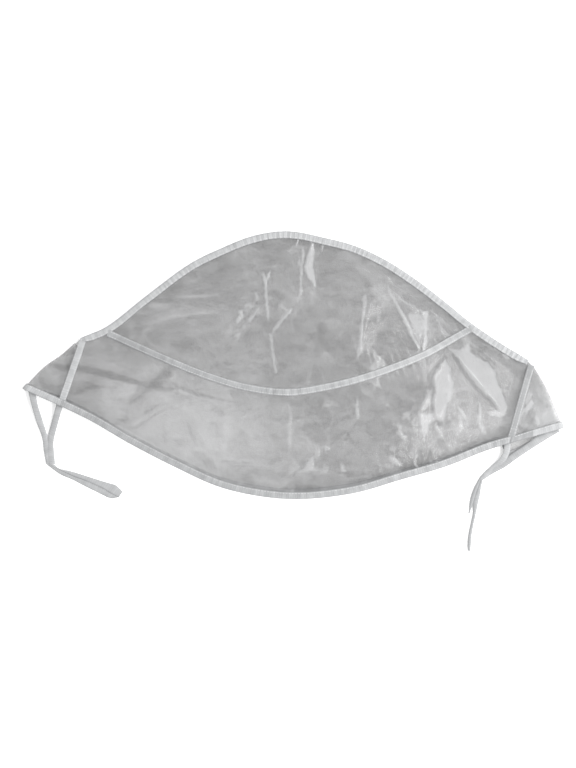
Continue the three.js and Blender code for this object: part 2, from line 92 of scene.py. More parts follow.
# Walls, and the edge of a film inside its folded tape
FILM_WALL = 0.0003
TAPE_WALL = 0.0005
EDGE_INSET = 0.0013
JOINT_GAP = 0.0006
FLAP_TOP_INSET = 0.0065

# Pale marks: how many metres of depth their border number spans, and half the width of a crease's line
BORDER_SCALE = 0.004
LINE_HALF_WIDTH = 0.0006

# How far tapes are darkened: painted shade along their edges and over what width, and all over on single
# tapes
RIM_SHADE = 0.4
RIM_WIDTH = 0.0004
LENS_SEAM_SHADE = 0.3
FRONT_HEM_SHADE = 0.26
RIGHT_SIDE_SHADE = 0.6
LEFT_TIE_SHADES = (0.0, 0.1, 0.1, 0.0)
RIGHT_TIE_SHADES = (0.2, 0.0, 0.5, 0.4)

# The back hem's stretch in the shade under the right side: how dark, and where it starts and ends as shares
BACK_HEM_SHADE = 0.5
SHADE_START = (0.66, 0.7)
SHADE_END = (0.888, 0.884)

# What the side tapes leave free at their foot and their top
LEFT_TRIM = (0.0045, 0.001)
RIGHT_TRIM = (0.0045, 0.002)

# A tape's profile: corners round its fold, on a leg and across a flat tape, and its soft edges in walls
NOSE_CORNERS = 9
LEG_CORNERS = 4
FLAT_CORNERS = 9
LEG_RIM, LEG_LIP = 0.18, 0.3
FLAT_CROWN = 0.3
FLAT_RIM_TOP, FLAT_RIM_BOTTOM = 0.12, -0.3

# Gathers of a tape: their pitch and its drift, their lowest height, and the fine ones
GATHER_PITCH = 0.0072
GATHER_DRIFT, DRIFT_LENGTH = 9, 0.03
GATHER_LOWEST, UNEVEN_LENGTH = 0.3, 0.02
FINE_PITCH, FINE_GATHER = 0.0023, 0.25

# Cells after which a random table repeats, and the share of a line at each end that its taper leaves out
LATTICE = 64
LINE_END = 0.03

# Outlines: shares of half the body width across, and of the body depth up
ARCH = (
    (-0.786, 0.602), (-0.689, 0.643), (-0.545, 0.756), (-0.379, 0.88), (-0.268, 0.936), (-0.157, 0.981),
    (-0.065, 1.0), (0.009, 1.0), (0.12, 0.977), (0.231, 0.947), (0.342, 0.895), (0.453, 0.823),
    (0.564, 0.737), (0.66, 0.658), (0.774, 0.579), (0.874, 0.519),
)
LENS_FIRST_ROW = 1
LENS_LAST_ROW = 13
VISOR_SEAM = (
    (-0.682, 0.62), (-0.527, 0.549), (-0.32, 0.462), (-0.172, 0.417), (-0.02, 0.398), (0.12, 0.417),
    (0.268, 0.455), (0.475, 0.534), (0.571, 0.586), (0.664, 0.639),
)
FRONT_HEM = (
    (-0.856, 0.346), (-0.741, 0.289), (-0.601, 0.207), (-0.434, 0.12), (-0.268, 0.045), (-0.102, 0.008),
    (0.039, 0.0), (0.231, 0.023), (0.397, 0.071), (0.564, 0.12), (0.708, 0.177), (0.8, 0.207),
)
BACK_HEM_RECESS = 0.009
BACK_HEM = (
    (-0.996, 0.4),
    *((across, up + BACK_HEM_RECESS) for across, up in FRONT_HEM[:-1]),
    (0.767, 0.203), (0.797, 0.154), (0.878, 0.188), (1.0, 0.259),
)


class Seed(IntEnum):
    """Seeds of the tapes' gathers, each of which also takes the next number, and of the first tie ribbon."""

    ARCH_TAPE = 41
    FRONT_HEM = 43
    BACK_HEM = 45
    LENS_SEAM = 47
    LEFT_SIDE = 48
    RIGHT_SIDE = 49
    TIES = 51


@dataclass(frozen=True)
class Side:
    """A folded side: its fold from the tip up to the arch, and the foot and top of its side seam."""

    fold: tuple[Pair, ...]
    foot: Pair
    top: Pair
    outward: int


LEFT_SIDE = Side(
    ((-0.996, 0.41), (-0.919, 0.492), (-0.852, 0.541), (-0.786, 0.602)),
    (-0.856, 0.346),
    (-0.774, 0.594),
    -1,
)
RIGHT_SIDE = Side(
    ((1.0, 0.263), (0.952, 0.387), (0.908, 0.47), (0.874, 0.519)), (0.8, 0.207), (0.885, 0.508), 1
)


@dataclass(frozen=True)
class Fold:
    """A soft fold of the front film: its two ends as shares, its width and its height in metres."""

    start: Pair
    end: Pair
    wide: float
    high: float


SOFT_FOLDS = (
    Fold((-0.091, 0.838), (-0.057, 0.462), 0.0079, 0.0011),
    Fold((0.046, 0.951), (-0.009, 0.669), 0.0079, 0.0011),
    Fold((-0.213, 0.632), (-0.113, 0.774), 0.009, -0.0011),
    Fold((0.268, 0.801), (0.257, 0.519), 0.0079, 0.0010),
    Fold((0.342, 0.801), (0.475, 0.575), 0.0102, 0.0013),
    Fold((0.397, 0.744), (0.497, 0.669), 0.0079, -0.0010),
    Fold((-0.445, 0.5), (-0.582, 0.323), 0.0113, 0.0013),
    Fold((-0.804, 0.474), (-0.49, 0.414), 0.0102, -0.0011),
    Fold((-0.035, 0.368), (-0.035, 0.105), 0.0079, 0.0010),
    Fold((-0.25, 0.387), (-0.25, 0.105), 0.0079, 0.0008),
    Fold((0.416, 0.218), (0.49, 0.406), 0.009, 0.0011),
)


@dataclass(frozen=True)
class Crease:
    """A sharp crease along a broken line, drawn downwards and read in the photograph's pixels.

    `high` is its height, `lit` the width of its slope to the right, `back` to the left, and the fourth
    number how far its ridge is paled: the film's whitening there, with a painted highlight.
    """

    high: float
    lit: float
    back: float
    whitening_and_highlight: float
    path: tuple[Pair, ...]


CREASES = (
    # crown fork
    Crease(0.0007, 0.003, 0.002, 0.3, ((262, 270), (265, 283), (266, 299), (267, 307), (269.5, 322))),
    Crease(0.0006, 0.003, 0.0025, 0.35, ((276, 330), (272, 336.5), (273, 350), (277, 374))),
    # crumple
    Crease(0.0005, 0.0025, 0.002, 0.25, ((256.7, 292), (257.4, 300), (248, 311), (238.7, 322))),
    Crease(0.0005, 0.0025, 0.002, 0.25, ((248.7, 302), (256, 307), (261, 306), (253.4, 319), (250, 324))),
    # fan
    Crease(0.0006, 0.0025, 0.002, 0.2, ((292, 307), (283, 319), (273.5, 330))),
    # crown
    Crease(0.0004, 0.002, 0.002, 0.12, ((304, 246), (302.7, 269), (300, 295), (291, 311))),
    Crease(0.0022, 0.007, 0.0025, 0.3, ((312.8, 240), (307.4, 256), (304.5, 269), (308, 278),
        (314.8, 288))),
    # tall crease
    Crease(0.0011, 0.004, 0.002, 0.5, ((364, 289), (366, 303), (362.3, 312), (361, 325), (359, 344),
        (361, 356))),
    # right ridge
    Crease(0.0007, 0.006, 0.004, 0.1, ((347.6, 251), (362, 270), (370, 279))),
    Crease(0.0022, 0.008, 0.003, 0.45, ((384, 270), (389, 292), (397, 305), (404, 321), (410.5, 336),
        (418, 352))),
    # shelf
    Crease(0.0009, 0.002, 0.006, 0.35, ((393, 292), (404, 303), (417, 309.5), (426.6, 313.4))),
    Crease(0.0013, 0.004, 0.006, 0.4, ((426.6, 313), (424, 327), (424, 345))),
    # right corner crease
    Crease(0.0008, 0.003, 0.003, 0.35, ((436, 316), (439, 328), (446, 337))),
    # seam star
    Crease(0.0014, 0.0045, 0.003, 0.45, ((371, 351), (376, 367), (372, 390))),
    # tall blade
    Crease(0.0022, 0.013, 0.005, 0.12, ((444, 357), (432.5, 376), (433.9, 388), (433.3, 401),
        (434.5, 415))),
    # long blade
    Crease(0.0018, 0.014, 0.006, 0.25, ((449, 348), (477, 382), (496, 403), (504, 415))),
    # under arch crease
    Crease(0.0008, 0.003, 0.004, 0.2, ((477, 341), (493, 349), (508, 358))),
    # centre crease
    Crease(0.0004, 0.002, 0.002, 0.35, ((284.5, 395), (287, 402), (291, 412), (289, 424), (289, 462))),
    # fold mark
    Crease(0.0003, 0.002, 0.002, 0.2, ((169, 375), (169, 420), (170, 452))),
    Crease(0.0003, 0.002, 0.002, 0.25, ((225, 392), (226, 430), (224, 474))),
    Crease(0.00025, 0.002, 0.002, 0.2, ((169, 464), (230, 463), (288, 465))),
    # left
    Crease(0.0008, 0.003, 0.005, 0.12, ((48, 366), (77, 370), (112, 378), (149, 387), (180, 391))),
    Crease(0.0008, 0.005, 0.003, 0.1, ((173, 367), (158, 380), (144, 393), (130, 408))),
    Crease(0.0005, 0.003, 0.003, 0.1, ((75, 393), (93, 387), (109, 389))),
    Crease(0.0006, 0.003, 0.003, 0.1, ((113, 423), (129, 419), (146, 412), (163, 405))),
    # crown streak
    Crease(0.0004, 0.002, 0.002, 0.3, ((176, 298), (196, 297), (216, 296))),
    Crease(0.0006, 0.004, 0.004, 0.2, ((154, 323), (176, 316), (211, 313))),
    # arch tick
    Crease(0.0006, 0.002, 0.002, 0.7, ((300, 235), (296, 247))),
    Crease(0.0006, 0.002, 0.002, 0.5, ((323, 240), (322, 252))),
    Crease(0.0005, 0.002, 0.002, 0.45, ((386, 266), (392, 274))),
)


@dataclass(frozen=True)
class Flake:
    """A small flat face of the creased film inside an outline read in the photograph's pixels.

    `pale` is how pale it is, as a painted highlight, or how dark below zero, as painted fold shade partly on
    doubled film, and `high` its height.
    """

    pale: float
    high: float
    outline: tuple[Pair, ...]


FLAKES = (
    # tall blade
    Flake(0.46, 0.0006, ((443.6, 358.3), (449.2, 369.7), (451.7, 386.7), (451.1, 395.2), (446.4, 402.7),
        (444.5, 413.1), (442.6, 420.7), (438.8, 420.7), (432.2, 418.8), (432.2, 411.2), (430.3, 399.9),
        (434.1, 390.4), (431.3, 381.9), (432.2, 375.3), (438.8, 369.7))),
    Flake(0.42, 0.0004, ((430.3, 388.6), (424.7, 396.1), (420.9, 403.7), (419, 409.3), (421.8, 411.2),
        (425.6, 407.4), (430.3, 403))),
    # split
    Flake(0.45, 0.0004, ((416.2, 411.2), (425.6, 415), (430.3, 413.1), (432.2, 418.8), (427.5, 426.3),
        (423.7, 438.6), (419.9, 432), (417.1, 420.7))),
    # splinters
    Flake(0.4, 0.0003, ((432.2, 422.6), (439.8, 428.2), (443.6, 438.6), (438.8, 437.7), (434.1, 438.6),
        (436.9, 432.9), (433.2, 428.2))),
    # hook
    Flake(0.5, 0.0003, ((454.9, 404.6), (460.6, 409.3), (465.3, 416.9), (466.2, 421.5), (464, 419.2),
        (459.6, 413.1), (455.8, 406.5))),
    Flake(0.4, 0.0003, ((457.7, 415.9), (460.6, 420.7), (464.5, 428.2), (458.7, 432), (455.8, 437.7),
        (454.9, 432.9), (459, 428.2), (457.7, 422.6))),
    # shelf
    Flake(0.62, 0.0004, ((421.7, 311.7), (428.3, 311.7), (426.7, 318.3), (425.6, 330.6), (426.1, 341.7),
        (423.9, 364), (420.9, 352.8), (422.8, 339.4), (423.3, 327.2), (423.3, 317.2))),
    Flake(0.55, 0.0004, ((386.1, 286.1), (389.4, 291.7), (396.1, 302.8), (401.7, 311.7), (407.2, 322.8),
        (412.8, 335), (419.4, 349.4), (417.2, 349.4), (408.3, 335), (402.8, 323.9), (399.4, 315),
        (393.9, 303.9), (388.3, 293.9))),
    Flake(0.36, 0.0003, ((407.2, 313.9), (421.7, 315), (423.9, 323.9), (419.4, 339.4), (418.9, 346.1),
        (411.7, 330.6))),
    Flake(0.3, 0.0003, ((395.5, 294.5), (400.6, 299), (408.3, 304.4), (416.1, 308.8), (422.8, 312),
        (422.8, 313.6), (416, 310.6), (408, 306.4), (400, 301))),
    # crown corner
    Flake(0.25, 0.0003, ((436.7, 317.2), (438.9, 320.6), (441.7, 327.2), (447.2, 333.9), (452.8, 336.1),
        (446.1, 336.1), (440.6, 333.9), (437.2, 327.2), (436.1, 321.7))),
    # seam star
    Flake(0.3, 0.0003, ((372.7, 349.8), (375.6, 354.6), (383.1, 360.2), (385.9, 365.9), (383.1, 374.4),
        (376.5, 379.1), (380.3, 390.1), (375.6, 386.7), (369.9, 382.9), (366.1, 379.1), (371.8, 372.5),
        (368, 367.8), (372.7, 362.1))),
    # slim blade
    Flake(0.42, 0.0004, ((361.4, 325), (362.3, 343.2), (360.1, 354.6), (356.7, 358.3), (356.3, 354.6),
        (357.6, 343.2), (359.5, 325))),
    Flake(0.4, 0.0003, ((365, 290), (366, 304), (364, 314), (362.4, 332), (360, 334), (361.6, 312),
        (363, 298))),
    Flake(0.3, 0.0002, ((365, 315), (370, 321), (367.5, 321.5), (365.5, 318))),
    # flake line
    Flake(0.42, 0.0003, ((356.7, 396.1), (357.2, 405.6), (358.6, 417.8), (356.7, 419.7), (354.4, 413.1),
        (355.2, 401.8))),
    Flake(0.25, 0.0002, ((351, 422.6), (344.4, 435.8), (341.6, 439.6), (341.9, 435.8), (347.5, 428))),
    # knot
    Flake(0.35, 0.0003, ((401, 411.2), (408.6, 413.1), (408.6, 419.7), (404, 418.4), (401, 419.5),
        (402.5, 415.5))),
    Flake(0.38, 0.0003, ((394.4, 422.6), (400, 424.4), (399, 430.1), (406.7, 437.7), (400, 437.7),
        (394.4, 432), (396.5, 428))),
    Flake(0.34, 0.0003, ((388.8, 445.2), (396.3, 447.1), (395, 451), (389, 449.2))),
    # quill
    Flake(0.42, 0.0003, ((387.8, 455.6), (393.5, 456.6), (400, 463), (402, 466), (393, 464), (389.5, 460))),
    Flake(0.42, 0.0003, ((418.1, 449), (413.6, 455), (412, 460.5), (414, 466), (421, 469), (416.6, 464.5),
        (414.6, 460), (416.4, 454.5))),
    # crumb
    Flake(0.3, 0.0003, ((442.6, 441.4), (449.2, 443.3), (454.9, 449.9), (448, 446.6))),
    Flake(0.3, 0.0003, ((427.5, 458.4), (432.2, 460.3), (430, 462.4))),
    # centre
    Flake(0.42, 0.0004, ((311.3, 452.8), (314.2, 462), (313, 470.5), (303, 470.5), (304.5, 465.5),
        (308.5, 461))),
    Flake(0.28, 0.0003, ((314.2, 445.2), (318.9, 447.1), (319.8, 450.9), (317, 460.3), (315.1, 454.7))),
    Flake(0.34, 0.0003, ((324.6, 444.3), (329.3, 446.2), (328.3, 450), (323.6, 449.4))),
    Flake(0.4, 0.0003, ((338.7, 460.3), (343.4, 465.1), (345.3, 471), (340.6, 470))),
    Flake(0.25, 0.0003, ((322.7, 461.3), (329.3, 467.9), (324.6, 472), (319.6, 474), (322, 467))),
    Flake(0.25, 0.0003, ((292, 457), (300, 466), (296, 471), (288, 474), (290, 466))),
    # fork
    Flake(0.5, 0.0003, ((262, 270), (264.4, 274), (266, 280), (268, 275), (270, 272), (273.6, 264.4),
        (272.4, 268), (270, 276), (267.4, 282), (267.4, 298), (269, 306), (270.2, 324), (268, 320),
        (265.6, 304), (264, 288), (263, 278))),
    Flake(0.42, 0.0003, ((269.6, 333), (272.4, 336), (273.4, 346), (277, 374), (274.4, 374), (271, 346))),
    # fan
    Flake(0.33, 0.0003, ((272.4, 335.4), (281, 325), (293.6, 309.6), (287.4, 309.6), (280, 320),
        (272.6, 329.4))),
    Flake(0.35, 0.0002, ((280.6, 304.4), (284, 306.8), (289.6, 312), (288.4, 314), (283, 310), (280, 308))),
    Flake(0.2, 0.0002, ((286, 290), (289.5, 292.5), (292.6, 297.5), (288.6, 294.5))),
    # crown blade
    Flake(0.5, 0.0005, ((312.2, 240), (314.4, 246), (313, 260), (312.4, 268), (315, 280), (315.6, 288),
        (311, 282), (306, 274), (304, 268), (306, 262), (309, 252))),
    # hairline
    Flake(0.5, 0.0002, ((303, 243), (304.6, 256), (303, 270), (300.8, 296), (299.2, 296), (300.4, 270),
        (301.8, 256))),
    Flake(0.3, 0.0002, ((298.6, 256), (300.2, 262), (300.2, 270), (298.4, 264))),
    # cluster
    Flake(0.5, 0.0004, ((238.9, 311.1), (242, 310.6), (244.3, 317.3), (242, 322), (238.1, 325.1),
        (236.5, 320.4), (240.3, 316))),
    Flake(0.38, 0.0003, ((245.1, 304.9), (251.3, 303.3), (254.4, 308), (251, 309), (248.6, 306.6),
        (246.6, 309))),
    Flake(0.4, 0.0003, ((254.4, 292.4), (257.5, 293), (259.3, 300.8), (256, 301.6), (255.6, 297))),
    Flake(0.45, 0.0003, ((247.6, 320.4), (252.6, 313.8), (259.4, 308.6), (260, 310.4), (254.6, 316.4),
        (250.6, 323))),
    Flake(0.34, 0.0003, ((233.4, 337.5), (237.3, 333.7), (241.2, 334.4), (240.4, 339.1), (236.5, 342.4),
        (236, 339.6), (238.4, 336.6), (235.4, 338.4))),
    Flake(0.3, 0.0003, ((243, 325), (245.6, 324), (246.6, 329), (243.4, 330.4))),
    # left
    Flake(0.17, 0.0002, ((148, 304), (156, 302.6), (168, 304), (171.4, 308), (160, 310.4), (150, 308.4))),
    Flake(0.24, 0.0002, ((196, 313.6), (206, 312.2), (216, 313), (214, 314.6), (204, 315.2))),
    Flake(0.17, 0.0002, ((184, 322.6), (190.7, 319.6), (200, 320.4), (199, 323.2), (190, 324.2))),
    Flake(0.18, 0.0002, ((183, 298), (199, 296), (216, 295.4), (216, 297.2), (199, 298.6))),
    # sail
    Flake(0.48, 0.0004, ((478.9, 400.1), (480.4, 409), (481.6, 416.1), (480.7, 423.2), (485.2, 429.4),
        (481.6, 431.2), (477.2, 428.5), (476.6, 419.6), (477.7, 409))),
    # tick
    Flake(0.42, 0.0002, ((468.3, 433.4), (469.6, 438), (469.9, 445), (468.5, 441))),
    Flake(0.36, 0.0002, ((472.7, 433.6), (473.3, 438), (472.4, 443.4), (471.7, 438))),
    # long blade
    Flake(0.44, 0.0006, ((448.7, 349.4), (458.5, 350.2), (468.3, 343.1), (470, 352), (476.3, 357.4),
        (486.9, 362.7), (495, 371.6), (498.5, 385.8), (503, 396.5), (506.5, 407.2), (503.8, 416.1),
        (494, 416.1), (486.9, 414.3), (485.2, 411.6), (497, 410), (490.5, 400), (481.6, 391.2),
        (472.7, 382.3), (463.8, 369.8), (456.7, 359.1))),
    # corner star
    Flake(0.42, 0.0003, ((506, 353), (508.4, 356.6), (511, 358.6), (507.6, 360), (504, 357.4), (502, 355))),
    # arch fleck
    Flake(0.3, 0.0002, ((235.6, 250), (236.8, 251), (234.2, 259.4), (232.8, 260))),
    Flake(0.3, 0.0002, ((322, 245), (323.4, 245.6), (323, 252.6), (321.8, 251))),
    Flake(0.28, 0.0002, ((346, 251), (348, 252.4), (351, 259.4), (348.6, 256.6))),
    # visor fleck
    Flake(0.18, 0.0002, ((225.8, 388.4), (227.4, 389), (228.8, 408), (227.4, 407))),
    # gusset
    Flake(0.42, 0.0002, ((519, 401), (523.4, 403.5), (524.6, 409), (522, 416), (519.6, 425), (517, 424),
        (519, 412), (516.6, 405))),
    Flake(0.42, 0.0002, ((528.6, 392), (532.6, 394), (526.6, 404.6), (523.6, 403.6))),
    Flake(0.55, 0.0002, ((531, 399), (534, 402.4), (528.6, 410), (525.8, 415), (523.6, 410))),
    Flake(0.52, 0.0002, ((533.6, 414.6), (537.6, 414), (540.4, 424.6), (536.4, 425.6))),
    Flake(0.45, 0.0002, ((541, 413.6), (545, 413.4), (548, 422.6), (544, 424.6))),
    Flake(0.28, 0.0001, ((544, 409), (556, 412.6), (560.4, 422.6), (551, 425), (545.6, 417))),
    Flake(0.16, 0.0001, ((535, 384), (545, 391), (549.6, 402), (541, 400.4))),
    Flake(0.28, 0.0001, ((511, 428), (516, 426), (519, 431), (514, 436), (509.6, 434))),
    # left
    Flake(0.09, 0.0001, ((46, 372), (58, 366), (60, 384), (50, 386), (44, 380))),
    Flake(0.1, 0.0001, ((36, 384), (48, 388), (54, 400), (42, 395))),
    # dark: painted fold shade, partly doubled film
    Flake(-0.24, 0, ((48, 363.6), (80, 365.6), (112, 371.6), (150, 383.4), (181, 389), (181, 394.6),
        (150, 389.6), (112, 379.4), (78, 372.6), (50, 370.4))),
    Flake(-0.24, 0, ((174, 366.4), (166, 366.6), (150, 377.6), (136, 391.6), (127, 404.6), (131, 407.6),
        (142, 398.6), (158, 388.4), (173, 376.6))),
    Flake(-0.2, 0, ((74, 396), (84, 387.4), (95, 384.6), (111, 387.6), (97, 389.4), (87, 392.6))),
    Flake(-0.26, 0, ((112, 425), (120, 418.6), (133, 418), (146, 411), (162, 401.6), (150, 414),
        (136, 422.4), (122, 425))),
    Flake(-0.12, 0, ((100, 399.6), (110, 403), (122, 401.6), (112, 409), (103, 406.6))),
    Flake(-0.1, 0, ((78, 400), (100, 410), (116, 428), (98, 420), (84, 410))),
    # gusset
    Flake(-0.2, 0, ((527, 411), (532, 408), (535, 414), (532, 424), (527, 425), (525, 418))),
    Flake(-0.2, 0, ((520, 428), (527, 426), (529, 433), (521, 436))),
    # long line
    Flake(-0.22, 0, ((173, 383), (200, 392.6), (224, 398.6), (250, 404), (224, 401.4), (200, 395.4),
        (173, 386))),
    Flake(0.2, 5e-05, ((176, 388), (200, 397), (226, 403), (200, 399.6), (178, 391))),
    # low
    Flake(-0.25, 0, ((136, 426), (147, 419), (158, 412), (176, 403.4), (159, 415), (148, 422), (137, 429))),
    Flake(-0.2, 5e-05, ((188, 421), (191, 424), (196, 434), (198.6, 445), (194, 441), (190, 431))),
    Flake(-0.2, 5e-05, ((188, 447), (203, 452), (215, 462), (222, 470), (207, 465), (196, 457))),
    Flake(-0.18, 0, ((163, 421), (165.6, 421), (168, 444), (165.6, 444))),
    Flake(0.28, 5e-05, ((224, 456), (255, 458.4), (255, 460.8), (224, 459.4))),
    Flake(0.2, 5e-05, ((197, 421), (214, 428), (219, 446), (206, 441), (199, 431))),
    # high fleck
    Flake(0.3, 0.0002, ((377, 315), (378.6, 318), (378.2, 323.4), (376.2, 321))),
)


@dataclass(frozen=True)
class Veil:
    """A soft band or patch where the film is painted darker, as fold shade, or lighter, as a highlight:
    `tone` is added along the line.
    """

    path: tuple[Pair, ...]
    wide: float
    tone: float


VEILS = (
    Veil(((-0.905, 0.5), (-0.795, 0.483), (-0.668, 0.453), (-0.532, 0.419), (-0.416, 0.402)), 0.0034, -0.3),
    Veil(((-0.443, 0.492), (-0.498, 0.445), (-0.549, 0.393), (-0.6, 0.337)), 0.0055, -0.24),
    Veil(((-0.804, 0.393), (-0.736, 0.419), (-0.677, 0.41)), 0.003, -0.2),
    Veil(((-0.664, 0.281), (-0.604, 0.298), (-0.54, 0.325), (-0.477, 0.35)), 0.0032, -0.2),
    Veil(((-0.58, 0.262), (-0.5, 0.29), (-0.43, 0.32)), 0.0024, -0.12),
    Veil(((-0.49, 0.245), (-0.4, 0.25), (-0.33, 0.235)), 0.0024, -0.1),
    Veil(((-0.511, 0.658), (-0.432, 0.683), (-0.303, 0.695)), 0.004, 0.3),
    Veil(((-0.432, 0.753), (-0.283, 0.758)), 0.0016, 0.3),
    Veil(((-0.53, 0.718), (-0.451, 0.723)), 0.0026, 0.25),
    Veil(((-0.42, 0.6), (-0.3, 0.63), (-0.2, 0.62)), 0.006, 0.12),
    Veil(((0.2, 0.9), (0.29, 0.82), (0.34, 0.7)), 0.007, 0.2),
    Veil(((0.42, 0.7), (0.47, 0.62), (0.49, 0.56)), 0.0065, 0.35),
)

# Where the film is crumpled most: place as shares, radius in metres, strength
CRUMPLES = (
    ((-0.157, 0.688), 0.015, 1.0),
    ((-0.09, 0.744), 0.012, 0.6),
    ((0.305, 0.474), 0.011, 0.5),
    ((0.442, 0.624), 0.014, 0.15),
    ((0.516, 0.233), 0.016, 0.5),
    ((0.397, 0.218), 0.018, 0.5),
    ((0.656, 0.256), 0.012, 0.3),
    ((0.213, 0.248), 0.012, 0.45),
    ((0.05, 0.124), 0.016, 0.8),
    ((0.933, 0.312), 0.015, 0.9),
)

# Patches of another tone: place as shares, radius in metres, tone added; the two pale ones at the lower left
# paint a broad reflection
PATCHES = (
    ((-0.52, 0.3), 0.055, 0.68),
    ((-0.28, 0.18), 0.05, 0.5),
    ((0.0, 0.25), 0.05, 0.1),
    ((-0.72, 0.44), 0.035, 0.12),
    ((-0.9, 0.45), 0.02, 0.05),
    ((-0.6, 0.6), 0.03, -0.08),
    ((0.66, 0.3), 0.05, 0.12),
    ((0.93, 0.33), 0.03, 0.55),
    ((0.4, 0.75), 0.03, 0.14),
)


@dataclass(frozen=True)
class Cut:
    """A cut across a tie: its left and right edge as shares, and the height of its middle."""

    left_across: float
    left_up: float
    right_across: float
    right_up: float
    level: float


LEFT_OUTER = (
    Cut(-0.978, 0.414, -0.952, 0.414, 0.0046),
    Cut(-0.966, 0.357, -0.941, 0.353, 0.0046),
    Cut(-0.948, 0.289, -0.923, 0.289, 0.0018),
    Cut(-0.926, 0.226, -0.906, 0.229, 0.0008),
    Cut(-0.919, 0.173, -0.898, 0.180, 0.0008),
    Cut(-0.911, 0.128, -0.893, 0.128, 0.0008),
)
LEFT_INNER = (
    Cut(-0.871, 0.357, -0.845, 0.357, 0.0046),
    Cut(-0.893, 0.278, -0.871, 0.267, 0.002),
    Cut(-0.906, 0.226, -0.884, 0.211, 0.0009),
    Cut(-0.908, 0.180, -0.882, 0.169, 0.001),
    Cut(-0.904, 0.128, -0.878, 0.128, 0.001),
)
LEFT_UPPER = (
    Cut(-0.909, 0.133, -0.878, 0.124, 0.0012),
    Cut(-0.889, 0.120, -0.867, 0.113, 0.0012),
    Cut(-0.811, 0.083, -0.811, 0.098, 0.0012),
    Cut(-0.756, 0.062, -0.749, 0.078, 0.0014),
    Cut(-0.699, 0.036, -0.686, 0.058, 0.0016),
    Cut(-0.673, 0.020, -0.652, 0.047, 0.0017),
    Cut(-0.643, 0.003, -0.628, 0.024, 0.0016),
)
LEFT_LOWER = (
    Cut(-0.909, 0.126, -0.896, 0.128, 0.0009),
    Cut(-0.860, 0.090, -0.860, 0.108, 0.0009),
    Cut(-0.811, 0.068, -0.811, 0.083, 0.0009),
    Cut(-0.760, 0.041, -0.756, 0.064, 0.0009),
    Cut(-0.704, 0.013, -0.699, 0.038, 0.0008),
    Cut(-0.682, 0.002, -0.673, 0.021, 0.0008),
    Cut(-0.664, -0.002, -0.641, 0.004, 0.0008),
)
RIGHT_OUTER = (
    Cut(0.989, 0.252, 0.963, 0.267, 0.0046),
    Cut(0.933, 0.218, 0.915, 0.241, 0.0046),
    Cut(0.874, 0.180, 0.863, 0.203, 0.0046),
    Cut(0.826, 0.147, 0.813, 0.169, 0.0044),
    Cut(0.786, 0.117, 0.767, 0.135, 0.0026),
    Cut(0.738, 0.090, 0.723, 0.107, 0.0012),
    Cut(0.702, 0.066, 0.693, 0.079, 0.0009),
)
RIGHT_INNER = (
    Cut(0.782, 0.222, 0.808, 0.222, 0.0046),
    Cut(0.780, 0.184, 0.804, 0.177, 0.0046),
    Cut(0.769, 0.156, 0.789, 0.143, 0.0044),
    Cut(0.738, 0.124, 0.763, 0.115, 0.002),
    Cut(0.704, 0.092, 0.719, 0.081, 0.0011),
)
RIGHT_SHORT = (
    Cut(0.693, 0.077, 0.699, 0.073, 0.0009),
    Cut(0.675, 0.045, 0.688, 0.041, 0.0009),
    Cut(0.662, 0.011, 0.677, 0.009, 0.0009),
    Cut(0.655, -0.023, 0.667, -0.024, 0.0009),
    Cut(0.654, -0.041, 0.662, -0.038, 0.0009),
    Cut(0.652, -0.060, 0.655, -0.060, 0.0008),
)
RIGHT_LONG = (
    Cut(0.696, 0.073, 0.704, 0.068, 0.0009),
    Cut(0.686, 0.041, 0.698, 0.041, 0.0009),
    Cut(0.675, 0.011, 0.694, 0.015, 0.0009),
    Cut(0.667, -0.026, 0.686, -0.021, 0.0009),
    Cut(0.668, -0.053, 0.680, -0.053, 0.0008),
    Cut(0.661, -0.090, 0.672, -0.090, 0.0008),
    Cut(0.651, -0.139, 0.663, -0.139, 0.0008),
    Cut(0.648, -0.177, 0.660, -0.177, 0.0008),
    Cut(0.650, -0.199, 0.658, -0.199, 0.0008),
)


def spot(rows: Sequence[Pair]) -> Array:
    """x and y in metres of (across, up) shares, with the bonnet's middle at the origin."""
    return np.array(rows, float) * [BODY_WIDTH / 2, BODY_DEPTH] + MIDDLE


def seen(marks: Sequence[Pair]) -> Array:
    """x and y in metres of (column, row) marks in the photograph's pixels.

    A mark's shares are (column - middle) / half width across, and (base - row) / depth up.
    """
    columns, rows = np.array(marks, float).T
    across, up = (columns - PHOTO_MIDDLE) / PHOTO_HALF_WIDTH, (PHOTO_BASE - rows) / PHOTO_DEPTH
    return spot(np.column_stack([across, up]))


def smooth_line(knots: Array, per_span: int = 40) -> Array:
    """Dense points on the centripetal Catmull-Rom line through the knots.

    Each span is the cubic with end slopes from the neighbouring knots, the knots being spaced by the
    square root of their distance.

    Args:
        knots: points, one a row.
        per_span: points a span.

    Returns:
        Points from the first knot to the last.
    """
    line = np.vstack([2 * knots[0] - knots[1], knots, 2 * knots[-1] - knots[-2]])
    p0, p1, p2, p3 = line[:-3], line[1:-2], line[2:-1], line[3:]
    step = np.sqrt(np.linalg.norm(np.diff(line, axis=0), axis=1))
    a, b, c = step[:-2, None], step[1:-1, None], step[2:, None]
    start = ((p1 - p0) / a - (p2 - p0) / (a + b) + (p2 - p1) / b) * b
    end = ((p2 - p1) / b - (p3 - p1) / (b + c) + (p3 - p2) / c) * b
    t = np.linspace(0, 1, per_span, endpoint=False)[None, :, None]
    p1, p2, start, end = p1[:, None], p2[:, None], start[:, None], end[:, None]
    cubic = (
        (2 * t**3 - 3 * t**2 + 1) * p1
        + (t**3 - 2 * t**2 + t) * start
        + (3 * t**2 - 2 * t**3) * p2
        + (t**3 - t**2) * end
    )
    return np.vstack([cubic.reshape(-1, knots.shape[1]), knots[-1:]])


def arc_length(points: Array) -> Array:
    """Length from the first point to each point."""
    return np.concatenate([[0.0], np.cumsum(np.linalg.norm(np.diff(points, axis=0), axis=1))])


